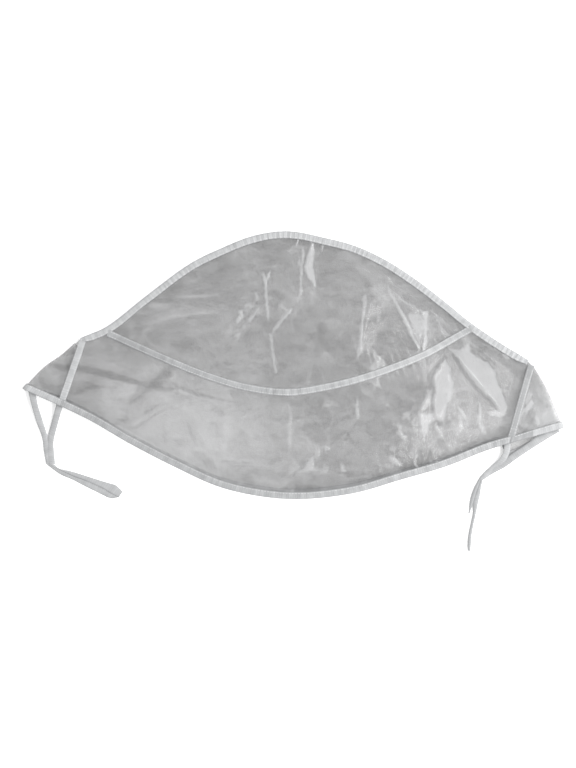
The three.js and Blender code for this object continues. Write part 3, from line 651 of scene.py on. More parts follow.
def picked(points: Array, stops: Array, wanted: Array) -> Array:
    """Points at the wanted measures, straight between the points that stand at the rising `stops`."""
    return np.stack([np.interp(wanted, stops, points[:, k]) for k in range(points.shape[1])], axis=1)


def evenly(points: Array, count: int) -> Array:
    """`count` points along a line, at equal lengths."""
    length = arc_length(points)
    return picked(points, length, np.linspace(0, length[-1], count))


def unit(vectors: Array) -> Array:
    """The vectors, each of length 1."""
    return vectors / np.maximum(np.linalg.norm(vectors, axis=-1, keepdims=True), 1e-12)


def directions(points: Array) -> Array:
    """The direction of a line at each of its points."""
    return unit(np.gradient(points, axis=0))


def square_to(tangent: Array, turn: float) -> Array:
    """Plan directions a quarter turn from the tangents: to their left for 1, to their right for -1."""
    return np.stack([-tangent[:, 1], tangent[:, 0]], axis=1) * turn


def beside(start: Array, end: Array, x: Array, y: Array) -> tuple[Array, Array, Array]:
    """The share of a stretch at the point nearest to each (x, y), and how far across and up it is away."""
    run = end - start
    t = np.clip(((x - start[0]) * run[0] + (y - start[1]) * run[1]) / (run @ run), 0, 1)
    return t, x - start[0] - t * run[0], y - start[1] - t * run[1]


def raised(plan: Array, z: float | Array = 0.0) -> Array:
    """Plan points or directions with their height."""
    return np.column_stack([plan, np.broadcast_to(z, len(plan))])


def upright(count: int, up: float = 1.0) -> Array:
    """`count` directions straight up, or straight down for -1."""
    return np.tile([0.0, 0.0, up], (count, 1))


def near_line(path: Array, x: Array, y: Array) -> tuple[Array, Array]:
    """Where points lie beside a broken line.

    Args:
        path: the line's points.
        x: across, in metres.
        y: up, in metres.

    Returns:
        The distance, above 0 on the line's left, and the share of the line's length at the nearest point.
    """
    best = np.full(x.shape, np.inf)
    signed = np.zeros(x.shape)
    share = np.zeros(x.shape)
    length = arc_length(path)
    for k, (start, end) in enumerate(zip(path[:-1], path[1:])):
        run = end - start
        t, dx, dy = beside(start, end, x, y)
        away = np.hypot(dx, dy)
        nearer = away < best
        best = np.where(nearer, away, best)
        signed = np.where(nearer, np.copysign(away, run[0] * dy - run[1] * dx), signed)
        share = np.where(nearer, (length[k] + t * (length[k + 1] - length[k])) / length[-1], share)
    return signed, share


def depth_inside(path: Array, x: Array, y: Array) -> Array:
    """How deep points are inside a closed outline, negative outside.

    The depth is the distance to the nearest side. A point is inside where a ray towards +X crosses the
    outline an odd number of times.
    """
    away = np.full(x.shape, np.inf)
    inside = np.zeros(x.shape, dtype=bool)
    for start, end in zip(path, np.roll(path, -1, axis=0)):
        run = end - start
        away = np.minimum(away, np.hypot(*beside(start, end, x, y)[1:]))
        if run[1] != 0:
            crossing = start[0] + (y - start[1]) * run[0] / run[1]
            inside ^= ((start[1] > y) != (end[1] > y)) & (x < crossing)
    return np.where(inside, away, -away)


def at_corners(gx: Array, gy: Array, table: Array) -> tuple[Array, ...]:
    """How far points are across and up their squares, and a table's numbers at the squares' four corners."""
    ix, iy = np.floor(gx).astype(int), np.floor(gy).astype(int)
    left, right, low, high = ix % LATTICE, (ix + 1) % LATTICE, iy % LATTICE, (iy + 1) % LATTICE
    return gx - ix, gy - iy, table[left, low], table[right, low], table[left, high], table[right, high]


def value_noise(x: Array, y: Array, cell: float, seed: int) -> Array:
    """Smooth noise from 0 to 1: random values on a lattice of `cell`, blended by 3t² - 2t³."""
    table = np.random.default_rng(seed).random((LATTICE, LATTICE))
    fx, fy, a, b, c, d = at_corners(x / cell, y / cell, table)
    fx, fy = fx * fx * (3 - 2 * fx), fy * fy * (3 - 2 * fy)
    return (a * (1 - fx) + b * fx) * (1 - fy) + (c * (1 - fx) + d * fx) * fy


def ridges(x: Array, y: Array, cell: float, seed: int) -> Array:
    """Ridged noise from 0 to 1: 1 - |2n - 1|, sharp where the smooth noise n passes a half."""
    return 1 - np.abs(2 * value_noise(x, y, cell, seed) - 1)


def cells(x: Array, y: Array, cell: float, seed: int) -> tuple[Array, Array]:
    """A pattern of irregular cells around scattered points, one in each square of a lattice.

    Args:
        x: across, in metres.
        y: up, in metres.
        cell: the lattice's size.
        seed: of the points and numbers.

    Returns:
        A number from 0 to 1 for the cell that each point is in, and its distance from the cell's border,
        as a share of the lattice's size: how much further the second nearest point is.
    """
    random = np.random.default_rng(seed)
    tables = random.random((3, LATTICE, LATTICE))
    gx, gy = x / cell, y / cell
    ix, iy = np.floor(gx).astype(int), np.floor(gy).astype(int)
    around = [(a, b) for a in (-1, 0, 1) for b in (-1, 0, 1)]
    places = [((ix + a) % LATTICE, (iy + b) % LATTICE, ix + a, iy + b) for a, b in around]
    away = np.stack(
        [np.hypot(gx - (c + tables[0, i, j]), gy - (d + tables[1, i, j])) for i, j, c, d in places]
    )
    numbers = np.stack([tables[2, i, j] for i, j, _, _ in places])
    nearest = np.argmin(away, axis=0)
    two = np.partition(away, 1, axis=0)
    return np.take_along_axis(numbers, nearest[None], axis=0)[0], two[1] - two[0]


def facets(x: Array, y: Array, cell: float, seed: int) -> tuple[Array, Array]:
    """Flat triangular facets between random heights.

    The heights stand on a lattice of even triangles, and the surface is linear within each one.

    Args:
        x: across, in metres.
        y: up, in metres.
        cell: the triangles' side.
        seed: of the heights.

    Returns:
        The height from -0.5 to 0.5, and the distance from the facet's nearest side in metres.
    """
    table = np.random.default_rng(seed).random((LATTICE, LATTICE)) - 0.5
    gy = 2 * y / (cell * math.sqrt(3))
    fx, fy, near, one, two, far = at_corners(x / cell - gy / 2, gy, table)
    over = fx + fy > 1
    three = np.where(over, far, near)
    shares = np.stack([np.where(over, 1 - fy, fx), np.where(over, 1 - fx, fy), np.abs(1 - fx - fy)])
    height = shares[0] * one + shares[1] * two + shares[2] * three
    return height, shares.min(axis=0) * cell * math.sqrt(3) / 2


def bordered(depth: Array) -> Array:
    """A depth as a number that is 0.5 on a pale mark's border, 1 well inside it and 0 well outside."""
    return np.clip(0.5 + depth / BORDER_SCALE, 0, 1)


def overlaid(first: Marks, second: Marks) -> Marks:
    """Two layers of pale marks as one: at each point the mark that it is deeper inside."""
    deeper = second[0] > first[0]
    return np.maximum(first[0], second[0]), np.where(deeper, second[1], first[1])


def rise(low: float, high: float, value: Array) -> Array:
    """3t² - 2t³ of how far the value has gone from low to high."""
    t = np.clip((value - low) / (high - low), 0, 1)
    return t * t * (3 - 2 * t)


def tapered(share: Array, power: float) -> Array:
    """A taper towards both ends of a line: sin(π·t)^power of the share t of its length."""
    return np.sin(np.pi * np.clip(share, LINE_END, 1 - LINE_END)) ** power


def spread(x: Array, y: Array, place: Pair, radius: float) -> Array:
    """How near points are to a place given as shares: exp(-(distance / radius)²)."""
    at = spot([place])[0]
    return np.exp(-(((x - at[0]) ** 2 + (y - at[1]) ** 2) / radius**2))


@dataclass
class FrontForm:
    """The form of the front film over the plan: its level, soft folds, creases and crumple."""

    arch: Array = field(default_factory=lambda: smooth_line(spot(ARCH)))
    hem: Array = field(default_factory=lambda: smooth_line(spot(FRONT_HEM)))
    seam: Array = field(default_factory=lambda: smooth_line(spot(VISOR_SEAM)))
    coarse: float = 0.0013
    fine: float = 0.0004
    large_facets: Grain = (0.009, 12)
    small_facets: Grain = (0.0042, 13)
    bend: float = 0.004
    bend_grain: Grain = (0.014, 11)
    large_line: float = 0.00035
    small_line: float = 0.0002
    paleness: Grain = (0.006, 14)
    calm: float = 0.08
    lively: float = 0.08
    lively_run: Pair = (-0.02, 0.12)
    ripple: float = 0.0002
    ripple_length: float = 0.021
    crease_taper: float = 0.6
    flake_slope: float = 0.0015
    wobble: float = 0.0013
    wobble_across: Grain = (0.003, 15)
    wobble_up: Grain = (0.003, 16)
    pucker: float = 0.0002
    pucker_lengths: Pair = (0.0078, 0.0047)
    pucker_start: float = 0.004
    pucker_reach: float = 0.007

    def seam_across(self, side: Side, y: Array) -> Array:
        """x of a side seam at y."""
        foot, top = spot([side.foot, side.top])
        return foot[0] + (top[0] - foot[0]) * np.clip((y - foot[1]) / (top[1] - foot[1]), 0, 1)

    def shares(self, x: Array, y: Array) -> tuple[Array, Array]:
        """How far points are from the hem to the arch, and how far the film bows up there."""
        top = np.interp(x, self.arch[:, 0], self.arch[:, 1]) - LEVEL_UNDER_ARCH
        bottom = np.interp(x, self.hem[:, 0], self.hem[:, 1]) + LEVEL_OVER_HEM
        left = self.seam_across(LEFT_SIDE, y) + LEVEL_SIDE
        right = self.seam_across(RIGHT_SIDE, y) - LEVEL_SIDE
        bow = np.sin(np.pi * np.clip((x - left) / (right - left), 0, 1))
        return np.clip((y - bottom) / (top - bottom), 0, 1), np.maximum(bow, 0)

    def level(self, x: Array, y: Array) -> Array:
        """Height of the film with its soft folds.

        The film is level beside its tapes. Between them it is
        lerp(hem level, arch level, rise) + dome rise · 4·rise·(1 - rise)·bow^0.8 + the folds.
        """
        share, bow = self.shares(x, y)
        hem_level = FOOT_LEVEL + (MOUTH_RISE - FOOT_LEVEL) * bow**HEM_BOW
        dome = 4 * share * (1 - share) * bow**DOME_BOW
        lift = np.zeros_like(x)
        for fold in SOFT_FOLDS:
            away, _ = near_line(spot([fold.start, fold.end]), x, y)
            lift += fold.high * np.exp(-((away / fold.wide) ** 2))
        lift = lift * np.minimum(1, FOLD_FADE * dome)
        return hem_level + (ARCH_LEVEL - hem_level) * share + DOME_RISE * dome + lift

    def creased(self, x: Array, y: Array) -> tuple[Array, Marks]:
        """Height of the sharp creases, and the border and paleness of their lines: whitening with a painted
        highlight.

        Each crease is a ridge, high·t'·(1 - distance / (width·t')) with the taper t' along its line, so
        its slopes stay even from end to end.
        """
        height = np.zeros_like(x)
        marks = (np.zeros_like(x), np.zeros_like(x))
        for crease in CREASES:
            away, share = near_line(seen(crease.path), x, y)
            taper = tapered(share, self.crease_taper)
            wide = np.where(away > 0, crease.lit, crease.back)
            inside = (share > 0) & (share < 1)
            height += crease.high * taper * np.clip(1 - np.abs(away) / (wide * taper), 0, 1) * inside
            line = bordered(LINE_HALF_WIDTH * taper - np.abs(away)) * inside
            marks = overlaid(marks, (line, np.full_like(x, crease.whitening_and_highlight)))
        return height, marks

    def flaked(self, x: Array, y: Array) -> tuple[Array, Marks]:
        """Height of the flakes, and their border and paleness: painted highlights, and painted fold shade
        below zero.

        A flake is a low plateau: high·min(1, depth / slope). Slow noise makes its outline uneven.
        """
        height = np.zeros_like(x)
        marks = (np.zeros_like(x), np.zeros_like(x))
        uneven_x = x + self.wobble * (value_noise(x, y, *self.wobble_across) - 0.5)
        uneven_y = y + self.wobble * (value_noise(x, y, *self.wobble_up) - 0.5)
        for flake in FLAKES:
            outline = seen(flake.outline)
            low, high = outline.min(axis=0) - BORDER_SCALE, outline.max(axis=0) + BORDER_SCALE
            close = (x > low[0]) & (x < high[0]) & (y > low[1]) & (y < high[1])
            depth = np.full_like(x, -1.0)
            depth[close] = depth_inside(outline, uneven_x[close], uneven_y[close])
            height += flake.high * np.clip(depth / self.flake_slope, 0, 1)
            marks = overlaid(marks, (bordered(depth), np.full_like(x, flake.pale)))
        return height, marks

    def strength(self, x: Array, y: Array) -> Array:
        """How crumpled the film is: a little at the left, more at the right, most in the named places."""
        strength = self.calm + self.lively * rise(*self.lively_run, x)
        for place, radius, amount in CRUMPLES:
            strength += amount * spread(x, y, place, radius)
        return strength

    def crumpled(self, x: Array, y: Array) -> tuple[Array, Marks]:
        """Height of the crumple all over the film, and the border and paleness of its sharpest ridges.

        Two layers of flat facets, longer up than across and leaning to opposite sides, their sides bent by
        slow noise, and a long soft ripple. Only the pale lines between facets get a border.
        """
        strength = self.strength(x, y)
        bend = self.bend * (value_noise(x, y, *self.bend_grain) - 0.5)
        large, side = facets(x + bend + 0.3 * y, 0.7 * y - bend, *self.large_facets)
        small, rim = facets(x - 0.4 * y - bend, 0.85 * y + bend, *self.small_facets)
        height = strength * (self.coarse * large + self.fine * small)
        soft = self.ripple * np.sin(2 * np.pi * (y * 0.8 - x * 0.25 + 2 * bend) / self.ripple_length)
        # The pale lines between facets: whitening with a painted highlight
        pale = 0.5 * np.clip(strength, 0, 1) * value_noise(x, y, *self.paleness) ** 2
        marks = overlaid(
            (bordered(self.large_line - side), pale), (bordered(self.small_line - rim), 0.7 * pale)
        )
        return height + soft, marks

    def puckers(self, along: Array, near: Array) -> Array:
        """Height of the gathers at a seam: waves along it that die out away from the tape."""
        long, short = self.pucker_lengths
        wave = np.sin(2 * np.pi * along / long) + 0.7 * np.sin(2 * np.pi * along / short + 1.3)
        fade = rise(0.0, self.pucker_start, near) * np.exp(-near / self.pucker_reach)
        return self.pucker * wave * fade


@dataclass(frozen=True)
class FilmTone:
    """Tone of the film over the plan, 0 smoky to 1 milky, from slow noise, panes, patches and veils, some of
    them painted light.
    """

    base: float = 0.25
    bend: float = 0.004
    bend_grain: Grain = (0.012, 23)
    cloud: float = 0.06
    clouds: Grain = (0.045, 21)
    streak: float = 0.1
    streaks: Grain = (0.004, 22)
    large: float = 0.16
    large_panes: Grain = (0.013, 24)
    large_edge: float = 0.34
    large_edges: Grain = (0.02, 26)
    small: float = 0.12
    small_panes: Grain = (0.0055, 25)
    small_edge: float = 0.2
    small_edges: Grain = (0.015, 27)
    edge_run: Pair = (0.4, 0.7)
    veil_gain: float = 1.5
    veil_taper: float = 0.5

    def at(self, x: Array, y: Array) -> Array:
        """The tone at points of the plan.

        The panes are irregular cells, drawn out and bent, with paler borders here and there. A veil is pale
        along its line, fades slowly to the line's left and fast to its right.
        """
        bend = self.bend * (value_noise(x, y, *self.bend_grain) - 0.5)
        large, edge = cells(x + bend + 0.4 * y, 0.5 * y - bend, *self.large_panes)
        small, rim = cells(0.45 * x - bend, y + bend - 0.25 * x, *self.small_panes)
        tone = self.base + self.cloud * (value_noise(x, y, *self.clouds) - 0.5)
        tone = tone + self.streak * (value_noise(x * 0.5, y * 1.8, *self.streaks) - 0.5)
        tone += self.large * (large - 0.5) + self.small * (small - 0.5)
        here = rise(*self.edge_run, value_noise(x, y, *self.large_edges))
        tone += self.large_edge * np.exp(-((edge / 0.05) ** 2)) * here
        here = rise(*self.edge_run, value_noise(x, y, *self.small_edges))
        tone += self.small_edge * np.exp(-((rim / 0.1) ** 2)) * here
        for place, radius, amount in PATCHES:
            tone += amount * spread(x, y, place, radius)
        # Veils: painted fold shade, and painted highlight where their tone is above zero
        for veil in VEILS:
            away, share = near_line(spot(veil.path), x, y)
            slow = np.exp(-((np.maximum(away, 0) / (1.6 * veil.wide)) ** 2))
            fast = np.exp(-((np.minimum(away, 0) / (0.3 * veil.wide)) ** 2))
            tone += self.veil_gain * veil.tone * tapered(share, self.veil_taper) * slow * fast
        return np.clip(tone, 0, 1)


@dataclass
class Skin:
    """Points and faces of a piece on their way into a mesh."""

    points: Array
    faces: list[list[int]]
    uv: Array
    values: dict[str, Array] = field(default_factory=dict)

    def joined(self, other: "Skin") -> "Skin":
        """This skin and another one as one."""
        shift = len(self.points)
        both = (self, other)
        values = {
            name: np.concatenate([skin.values.get(name, np.zeros(len(skin.points))) for skin in both])
            for name in dict.fromkeys([*self.values, *other.values])
        }
        faces = self.faces + [[corner + shift for corner in face] for face in other.faces]
        return Skin(np.vstack([self.points, other.points]), faces, np.vstack([self.uv, other.uv]), values)

    @staticmethod
    def whole(skins: Sequence["Skin"]) -> "Skin":
        """All the skins as one, in order."""
        return reduce(Skin.joined, skins)

    def placed(self, name: str, weld: float = 0.0, sharp: float = 60.0) -> Piece:
        """The skin as an object at the origin, faces outward.

        Args:
            name: the piece's name.
            weld: points closer than this become one.
            sharp: edges over this angle, in degrees, stay sharp.

        Returns:
            The new object.
        """
        mesh = bpy.data.meshes.new(name)
        mesh.from_pydata(self.points.tolist(), [], self.faces)
        layer = mesh.uv_layers.new(name="UVMap")
        corners = np.empty(len(mesh.loops), dtype=np.int32)
        mesh.loops.foreach_get("vertex_index", corners)
        layer.data.foreach_set("uv", self.uv[corners].astype(np.float32).ravel())
        for key, numbers in self.values.items():
            attribute = mesh.attributes.new(key, "FLOAT", "POINT")
            attribute.data.foreach_set("value", numbers.astype(np.float32))
        work = bmesh.new()
        work.from_mesh(mesh)
        if weld:
            bmesh.ops.remove_doubles(work, verts=work.verts, dist=weld)
        bmesh.ops.recalc_face_normals(work, faces=work.faces)
        work.to_mesh(mesh)
        work.free()
        mesh.polygons.foreach_set("use_smooth", np.ones(len(mesh.polygons), dtype=bool))
        mesh.set_sharp_from_angle(angle=math.radians(sharp))
        return linked(name, mesh)


def linked(name: str, data: Any) -> Piece:
    """A new object in the scene, at the origin."""
    thing = bpy.data.objects.new(name, data)
    bpy.context.scene.collection.objects.link(thing)
    return thing


def grid_faces(rows: int, columns: int) -> list[list[int]]:
    """Quads between the points of a grid that is stored row after row."""
    first = (np.arange(rows - 1)[:, None] * columns + np.arange(columns - 1)[None, :]).ravel()
    return np.stack([first, first + columns, first + columns + 1, first + 1], axis=1).tolist()


def tube_faces(rings: int, size: int) -> list[list[int]]:
    """Faces of a tube through rings of `size` points each, closed at both ends."""
    base = np.arange(rings - 1)[:, None] * size
    here, after = np.arange(size)[None, :], (np.arange(size)[None, :] + 1) % size
    quads = np.stack([base + here, base + after, base + size + after, base + size + here], axis=2)
    last = (rings - 1) * size
    return quads.reshape(-1, 4).tolist() + [list(range(size))[::-1], list(range(last, last + size))]


def sheet_skin(low: Array, high: Array, rows: int) -> tuple[Skin, Array, Array]:
    """A flat grid between two plan lines: point(k, v) = low_k·(1 - v) + high_k·v.

    Args:
        low: points of the lower line.
        high: as many points of the upper line.
        rows: points from the lower to the upper line.

    Returns:
        The skin at height 0, and the share v and the depth at each of its points.
    """
    v = np.linspace(0, 1, rows)[None, :, None]
    plan = (low[:, None] * (1 - v) + high[:, None] * v).reshape(-1, 2)
    share = np.broadcast_to(v[..., 0], (len(low), rows)).ravel()
    depth = np.repeat(np.linalg.norm(high - low, axis=1), rows)
    return Skin(raised(plan), grid_faces(len(low), rows), plan.copy()), share, depth


def swept(
    stations: Array, frames: Array, normals: Array, profile: Array, lift: Array | None = None,
    shade: float | Array = 0.0,
) -> Skin:
    """A closed profile carried along a path: point = station + inward·a + normal·h for each (a, h).

    Args:
        stations: the path's points.
        frames: the direction that the profile's first number follows, at each station.
        normals: the direction of its second number.
        profile: the profile's corners in order, an array of (a, h).
        lift: what is added to h at each station, scaled by the corner's own share of h.
        shade: how far the finish is darkened, with painted shade along both edges.

    Returns:
        A skin closed at both ends, with u the length along the path and v the way round the profile.
    """
    count, size = len(stations), len(profile)
    h = np.broadcast_to(profile[None, :, 1], (count, size)).copy()
    if lift is not None:
        h += lift[:, None] * np.sign(profile[None, :, 1])
    points = stations[:, None] + frames[:, None] * profile[None, :, :1] + normals[:, None] * h[..., None]
    length = np.repeat(arc_length(stations), size)
    round_it = np.tile(profile[:, 0], count)
    edge = np.minimum(profile[:, 0] - profile[:, 0].min(), profile[:, 0].max() - profile[:, 0])
    # Painted shade along both edges of the tape
    rim = np.broadcast_to(shade, count)[:, None] + RIM_SHADE * np.exp(-((edge / RIM_WIDTH) ** 2))
    uv = np.column_stack([length, round_it])
    return Skin(points.reshape(-1, 3), tube_faces(count, size), uv, {"shade": rim.ravel()})


def folded_profile(reach: float, half: float, wall: float) -> Array:
    """Corners of a tape folded round an edge: two legs of `reach` and a half-round back.

    Args:
        reach: how far the legs reach over the film.
        half: half the free height between the legs.
        wall: the tape's thickness.

    Returns:
        (inward, height) corners, the outer side first.
    """
    angle = np.linspace(np.pi / 2, 3 * np.pi / 2, NOSE_CORNERS)
    nose = -EDGE_INSET + half + wall
    outer = np.column_stack([nose + (half + wall) * np.cos(angle), (half + wall) * np.sin(angle)])
    inner = np.column_stack([nose + half * np.cos(angle), half * np.sin(angle)])[::-1]
    middle = np.linspace(reach, nose, LEG_CORNERS + 1)[:-1]
    top = np.column_stack([middle, np.full(LEG_CORNERS, half + wall)])
    bottom = np.column_stack([middle[::-1], np.full(LEG_CORNERS, -half - wall)])
    rim = LEG_RIM * wall
    top[0] -= [0.0, rim]
    bottom[-1] += [0.0, rim]
    inner_bottom = np.array([[reach - LEG_LIP * wall, -half]])
    inner_top = np.array([[reach - LEG_LIP * wall, half]])
    return np.vstack([top, outer, bottom, inner_bottom, inner, inner_top])


def flat_profile(width: float, wall: float) -> Array:
    """Corners of a flat tape with rounded edges, slightly crowned: (across, height)."""
    across = np.linspace(width / 2, -width / 2, FLAT_CORNERS)
    crown = FLAT_CROWN * wall * (1 - (2 * across / width) ** 2)
    top = np.column_stack([across, wall / 2 + crown])
    top[0, 1] = top[-1, 1] = FLAT_RIM_TOP * wall
    bottom = np.column_stack([across[::-1], np.full(FLAT_CORNERS, -wall / 2)])
    bottom[0, 1] = bottom[-1, 1] = FLAT_RIM_BOTTOM * wall
    return np.vstack([top, bottom])


def gathers(length: Array, high: float, seed: int, pitch: float = GATHER_PITCH) -> Array:
    """Height of the small gathers along a sewn tape, from the length along it."""
    drift = GATHER_DRIFT * value_noise(length, 0 * length, DRIFT_LENGTH, seed)
    wave = np.sin(2 * np.pi * length / pitch + drift)
    uneven = GATHER_LOWEST + (1 - GATHER_LOWEST) * value_noise(length, 0 * length, UNEVEN_LENGTH, seed + 1)
    fine = FINE_GATHER * np.sin(2 * np.pi * length / FINE_PITCH)
    return high * (wave * uneven + fine)


class Term:
    """A number in a node tree; Python's operators on it add Math nodes."""

    def __init__(self, shader: "Shader", socket: Socket) -> None:
        """Wraps a socket of the shader's tree."""
        self.shader = shader
        self.socket = socket

    def _maths(self, operation: str, *values: Any) -> "Term":
        """A Math node over the values."""
        node = self.shader.node("ShaderNodeMath", {"operation": operation}, dict(enumerate(values)))
        return Term(self.shader, node.outputs[0])

    def __add__(self, other: Any) -> "Term":
        """self + other."""
        return self._maths("ADD", self, other)

    __radd__ = __add__

    def __sub__(self, other: Any) -> "Term":
        """self - other."""
        return self._maths("SUBTRACT", self, other)

    def __rsub__(self, other: Any) -> "Term":
        """other - self."""
        return self._maths("SUBTRACT", other, self)

    def __mul__(self, other: Any) -> "Term":
        """self · other."""
        return self._maths("MULTIPLY", self, other)

    __rmul__ = __mul__

    def sine(self) -> "Term":
        """The sine of self."""
        return self._maths("SINE", self)

    def size(self) -> "Term":
        """self without its sign."""
        return self._maths("ABSOLUTE", self)

    def clamped(self) -> "Term":
        """self held between 0 and 1."""
        return self._maths("MAXIMUM", self._maths("MINIMUM", self, 1.0), 0.0)

    def stepped(self, low: float, high: float) -> "Term":
        """3t² - 2t³ of how far self has gone from low to high."""
        node = self.shader.node(
            "ShaderNodeMapRange",
            {"interpolation_type": "SMOOTHSTEP"},
            {"Value": self, "From Min": low, "From Max": high},
        )
        return Term(self.shader, node.outputs[0])


class Shader:
    """The node tree of one material."""

    # Numbers of a Mix node's colour sockets, and the roughness of every fractal noise
    MIX_FIRST, MIX_SECOND, MIX_RESULT = 6, 7, 2
    NOISE_ROUGHNESS = 0.55

    def __init__(self, name: str) -> None:
        """Starts an empty material."""
        self.material = bpy.data.materials.new(name)
        self.material.use_nodes = True
        self.tree = self.material.node_tree
        self.tree.nodes.clear()

    def node(
        self, kind: str, settings: dict[str, Any] | None = None, inputs: dict[Any, Any] | None = None
    ) -> bpy.types.Node:
        """Adds a node.

        Args:
            kind: the node's type.
            settings: properties, set before the inputs.
            inputs: values, Terms or sockets by the input's name or number.

        Returns:
            The node.
        """
        node = self.tree.nodes.new(kind)
        for key, value in (settings or {}).items():
            setattr(node, key, value)
        for key, value in (inputs or {}).items():
            if isinstance(value, Term):
                self.tree.links.new(value.socket, node.inputs[key])
            elif isinstance(value, Socket):
                self.tree.links.new(value, node.inputs[key])
            else:
                node.inputs[key].default_value = value
        return node

    def stored(self, name: str) -> Term:
        """The piece's own attribute of that name."""
        node = self.node("ShaderNodeAttribute", {"attribute_name": name, "attribute_type": "GEOMETRY"})
        return Term(self, node.outputs["Fac"])

    def drawn(self, stretch: float = 1.0, turn: float = 0.0) -> Socket:
        """Object coordinates, scaled along Y and turned about Z."""
        where = self.node("ShaderNodeTexCoord").outputs["Object"]
        inputs = {"Vector": where, "Rotation": (0, 0, turn), "Scale": (1.0, stretch, 1.0)}
        return self.node("ShaderNodeMapping", {}, inputs).outputs[0]

    def noise(self, vector: Socket, scale: float, detail: float) -> Term:
        """Fractal noise from 0 to 1."""
        inputs = {"Vector": vector, "Scale": scale, "Detail": detail, "Roughness": self.NOISE_ROUGHNESS}
        return Term(self, self.node("ShaderNodeTexNoise", {}, inputs).outputs["Fac"])

    def moved(self, vector: Socket, shift: Socket) -> Socket:
        """The sum of two vectors."""
        return self.node("ShaderNodeVectorMath", {"operation": "ADD"}, {0: vector, 1: shift}).outputs[0]

    def panes(self, vector: Socket, scale: float) -> Term:
        """Irregular flat cells, each with its own number from 0 to 1."""
        inputs = {"Vector": vector, "Scale": scale}
        pattern = self.node("ShaderNodeTexVoronoi", {"voronoi_dimensions": "2D", "feature": "F1"}, inputs)
        split = self.node("ShaderNodeSeparateColor", {}, {"Color": pattern.outputs["Color"]})
        return Term(self, split.outputs[0])

    def blend(self, share: Term, first: Any, second: Any) -> Socket:
        """A colour between two, by share."""
        inputs = {"Factor": share, self.MIX_FIRST: first, self.MIX_SECOND: second}
        return self.node("ShaderNodeMix", {"data_type": "RGBA"}, inputs).outputs[self.MIX_RESULT]

    def bumped(self, height: Term, strength: float) -> Socket:
        """A normal from a height in metres."""
        inputs = {"Height": height, "Strength": strength, "Distance": 1.0}
        return self.node("ShaderNodeBump", {}, inputs).outputs[0]

    def finished(self, inputs: dict[Any, Any]) -> Material:
        """Ends the tree in a Principled BSDF with these inputs."""
        surface = self.node("ShaderNodeBsdfPrincipled", {}, inputs)
        self.node("ShaderNodeOutputMaterial", {}, {"Surface": surface.outputs[0]})
        return self.material


def grey(value: float, cool: float = 0.0) -> tuple[float, float, float, float]:
    """A near-neutral colour, slightly blue for cool above 0."""
    return (value * (1 - cool), value, value * (1 + cool), 1.0)


@dataclass(frozen=True)
class FilmFinish:
    """Clear, slightly smoky film: see-through and glossy, whitened along its creases, with painted
    highlights and painted fold shade.
    """

    name: str = "smoky_film"
    smoky: float = 0.08
    milky: float = 0.555
    tone_gain: float = 0.8
    whitening_and_highlight_tone: float = 0.58
    density: float = 0.252
    milk_density: float = 0.0375
    whitening_and_highlight_density: float = 0.12
    whitening_and_highlight_gain: float = 1.9
    tint: float = 0.008
    whitening_and_highlight_tint: float = 0.01
    roughness: float = 0.085
    grain_roughness: float = 0.05
    ior: float = 1.53
    gloss: float = 0.35
    streak_scale: float = 140.0
    grain_scale: float = 620.0
    fleck_scale: float = 420.0
    pane_scale: float = 70.0
    wrinkle_scale: float = 55.0
    streak_run: Pair = (2.6, 0.35)
    pane_run: Pair = (2.1, 0.35)
    wrinkle_run: Pair = (2.4, -0.45)
    sway: Pair = (0.012, -0.009)
    fold_run: Pair = (0.955, 1.0)
    fold_place: Pair = (0.45, 0.65)
    mark_run: Pair = (0.44, 0.56)
    whitening_and_highlight_flecks: Pair = (0.72, 0.35)
    streak_tone: float = 0.2
    grain_tone: float = 0.2
    pane_tone: float = 0.24
    fold_tone: float = 0.4
    streak_height: float = 0.00005
    grain_height: float = 0.000002
    bump: float = 0.55

    def material(self) -> Material:
        """The film's material, from its attributes tone, border and pale and a fine grain."""
        shader = Shader(self.name)
        place = shader.drawn()
        streaks = shader.noise(shader.drawn(*self.streak_run), self.streak_scale, 2.0)
        grain = shader.noise(place, self.grain_scale, 1.0)
        shift = {"X": streaks * self.sway[0], "Y": streaks * self.sway[1]}
        sway = shader.node("ShaderNodeCombineXYZ", {}, shift)
        bent = shader.moved(shader.drawn(*self.pane_run), sway.outputs[0])
        panes = shader.panes(bent, self.pane_scale)
        wrinkle = shader.noise(shader.drawn(*self.wrinkle_run), self.wrinkle_scale, 3.0)
        folds = (1.0 - ((wrinkle - 0.5) * 2.0).size()).stepped(*self.fold_run)
        folds = folds * streaks.stepped(*self.fold_place)
        tone = shader.stored("tone") + (streaks - 0.5) * self.streak_tone
        tone = tone + (grain - 0.5) * self.grain_tone + (panes - 0.5) * self.pane_tone
        mark = shader.stored("border").stepped(*self.mark_run) * shader.stored("pale")
        tone = ((tone + folds * self.fold_tone) * self.tone_gain).clamped()
        # Dark marks take tone away: painted fold shade
        tone = (tone - (mark * -1.0).clamped()).clamped()
        flecks = shader.noise(place, self.fleck_scale, 2.0)
        # Pale marks: crease whitening and painted highlights
        whitening_and_highlight = (mark * (self.whitening_and_highlight_flecks[0] + flecks * self.whitening_and_highlight_flecks[1])).clamped()
        body = shader.blend(tone, grey(self.smoky, self.tint), grey(self.milky, self.tint))
        # The colour of the pale marks: whitening and painted highlight
        crease = grey(self.whitening_and_highlight_tone, self.whitening_and_highlight_tint)
        density = (tone * self.milk_density + whitening_and_highlight * self.whitening_and_highlight_density + self.density).clamped()
        height = streaks * self.streak_height + grain * self.grain_height
        return shader.finished(
            {
                "Base Color": shader.blend((whitening_and_highlight * self.whitening_and_highlight_gain).clamped(), body, crease),
                "Roughness": (self.roughness + grain * self.grain_roughness).clamped(),
                "IOR": self.ior,
                "Specular IOR Level": self.gloss,
                "Alpha": density,
                "Normal": shader.bumped(height, self.bump),
            }
        )


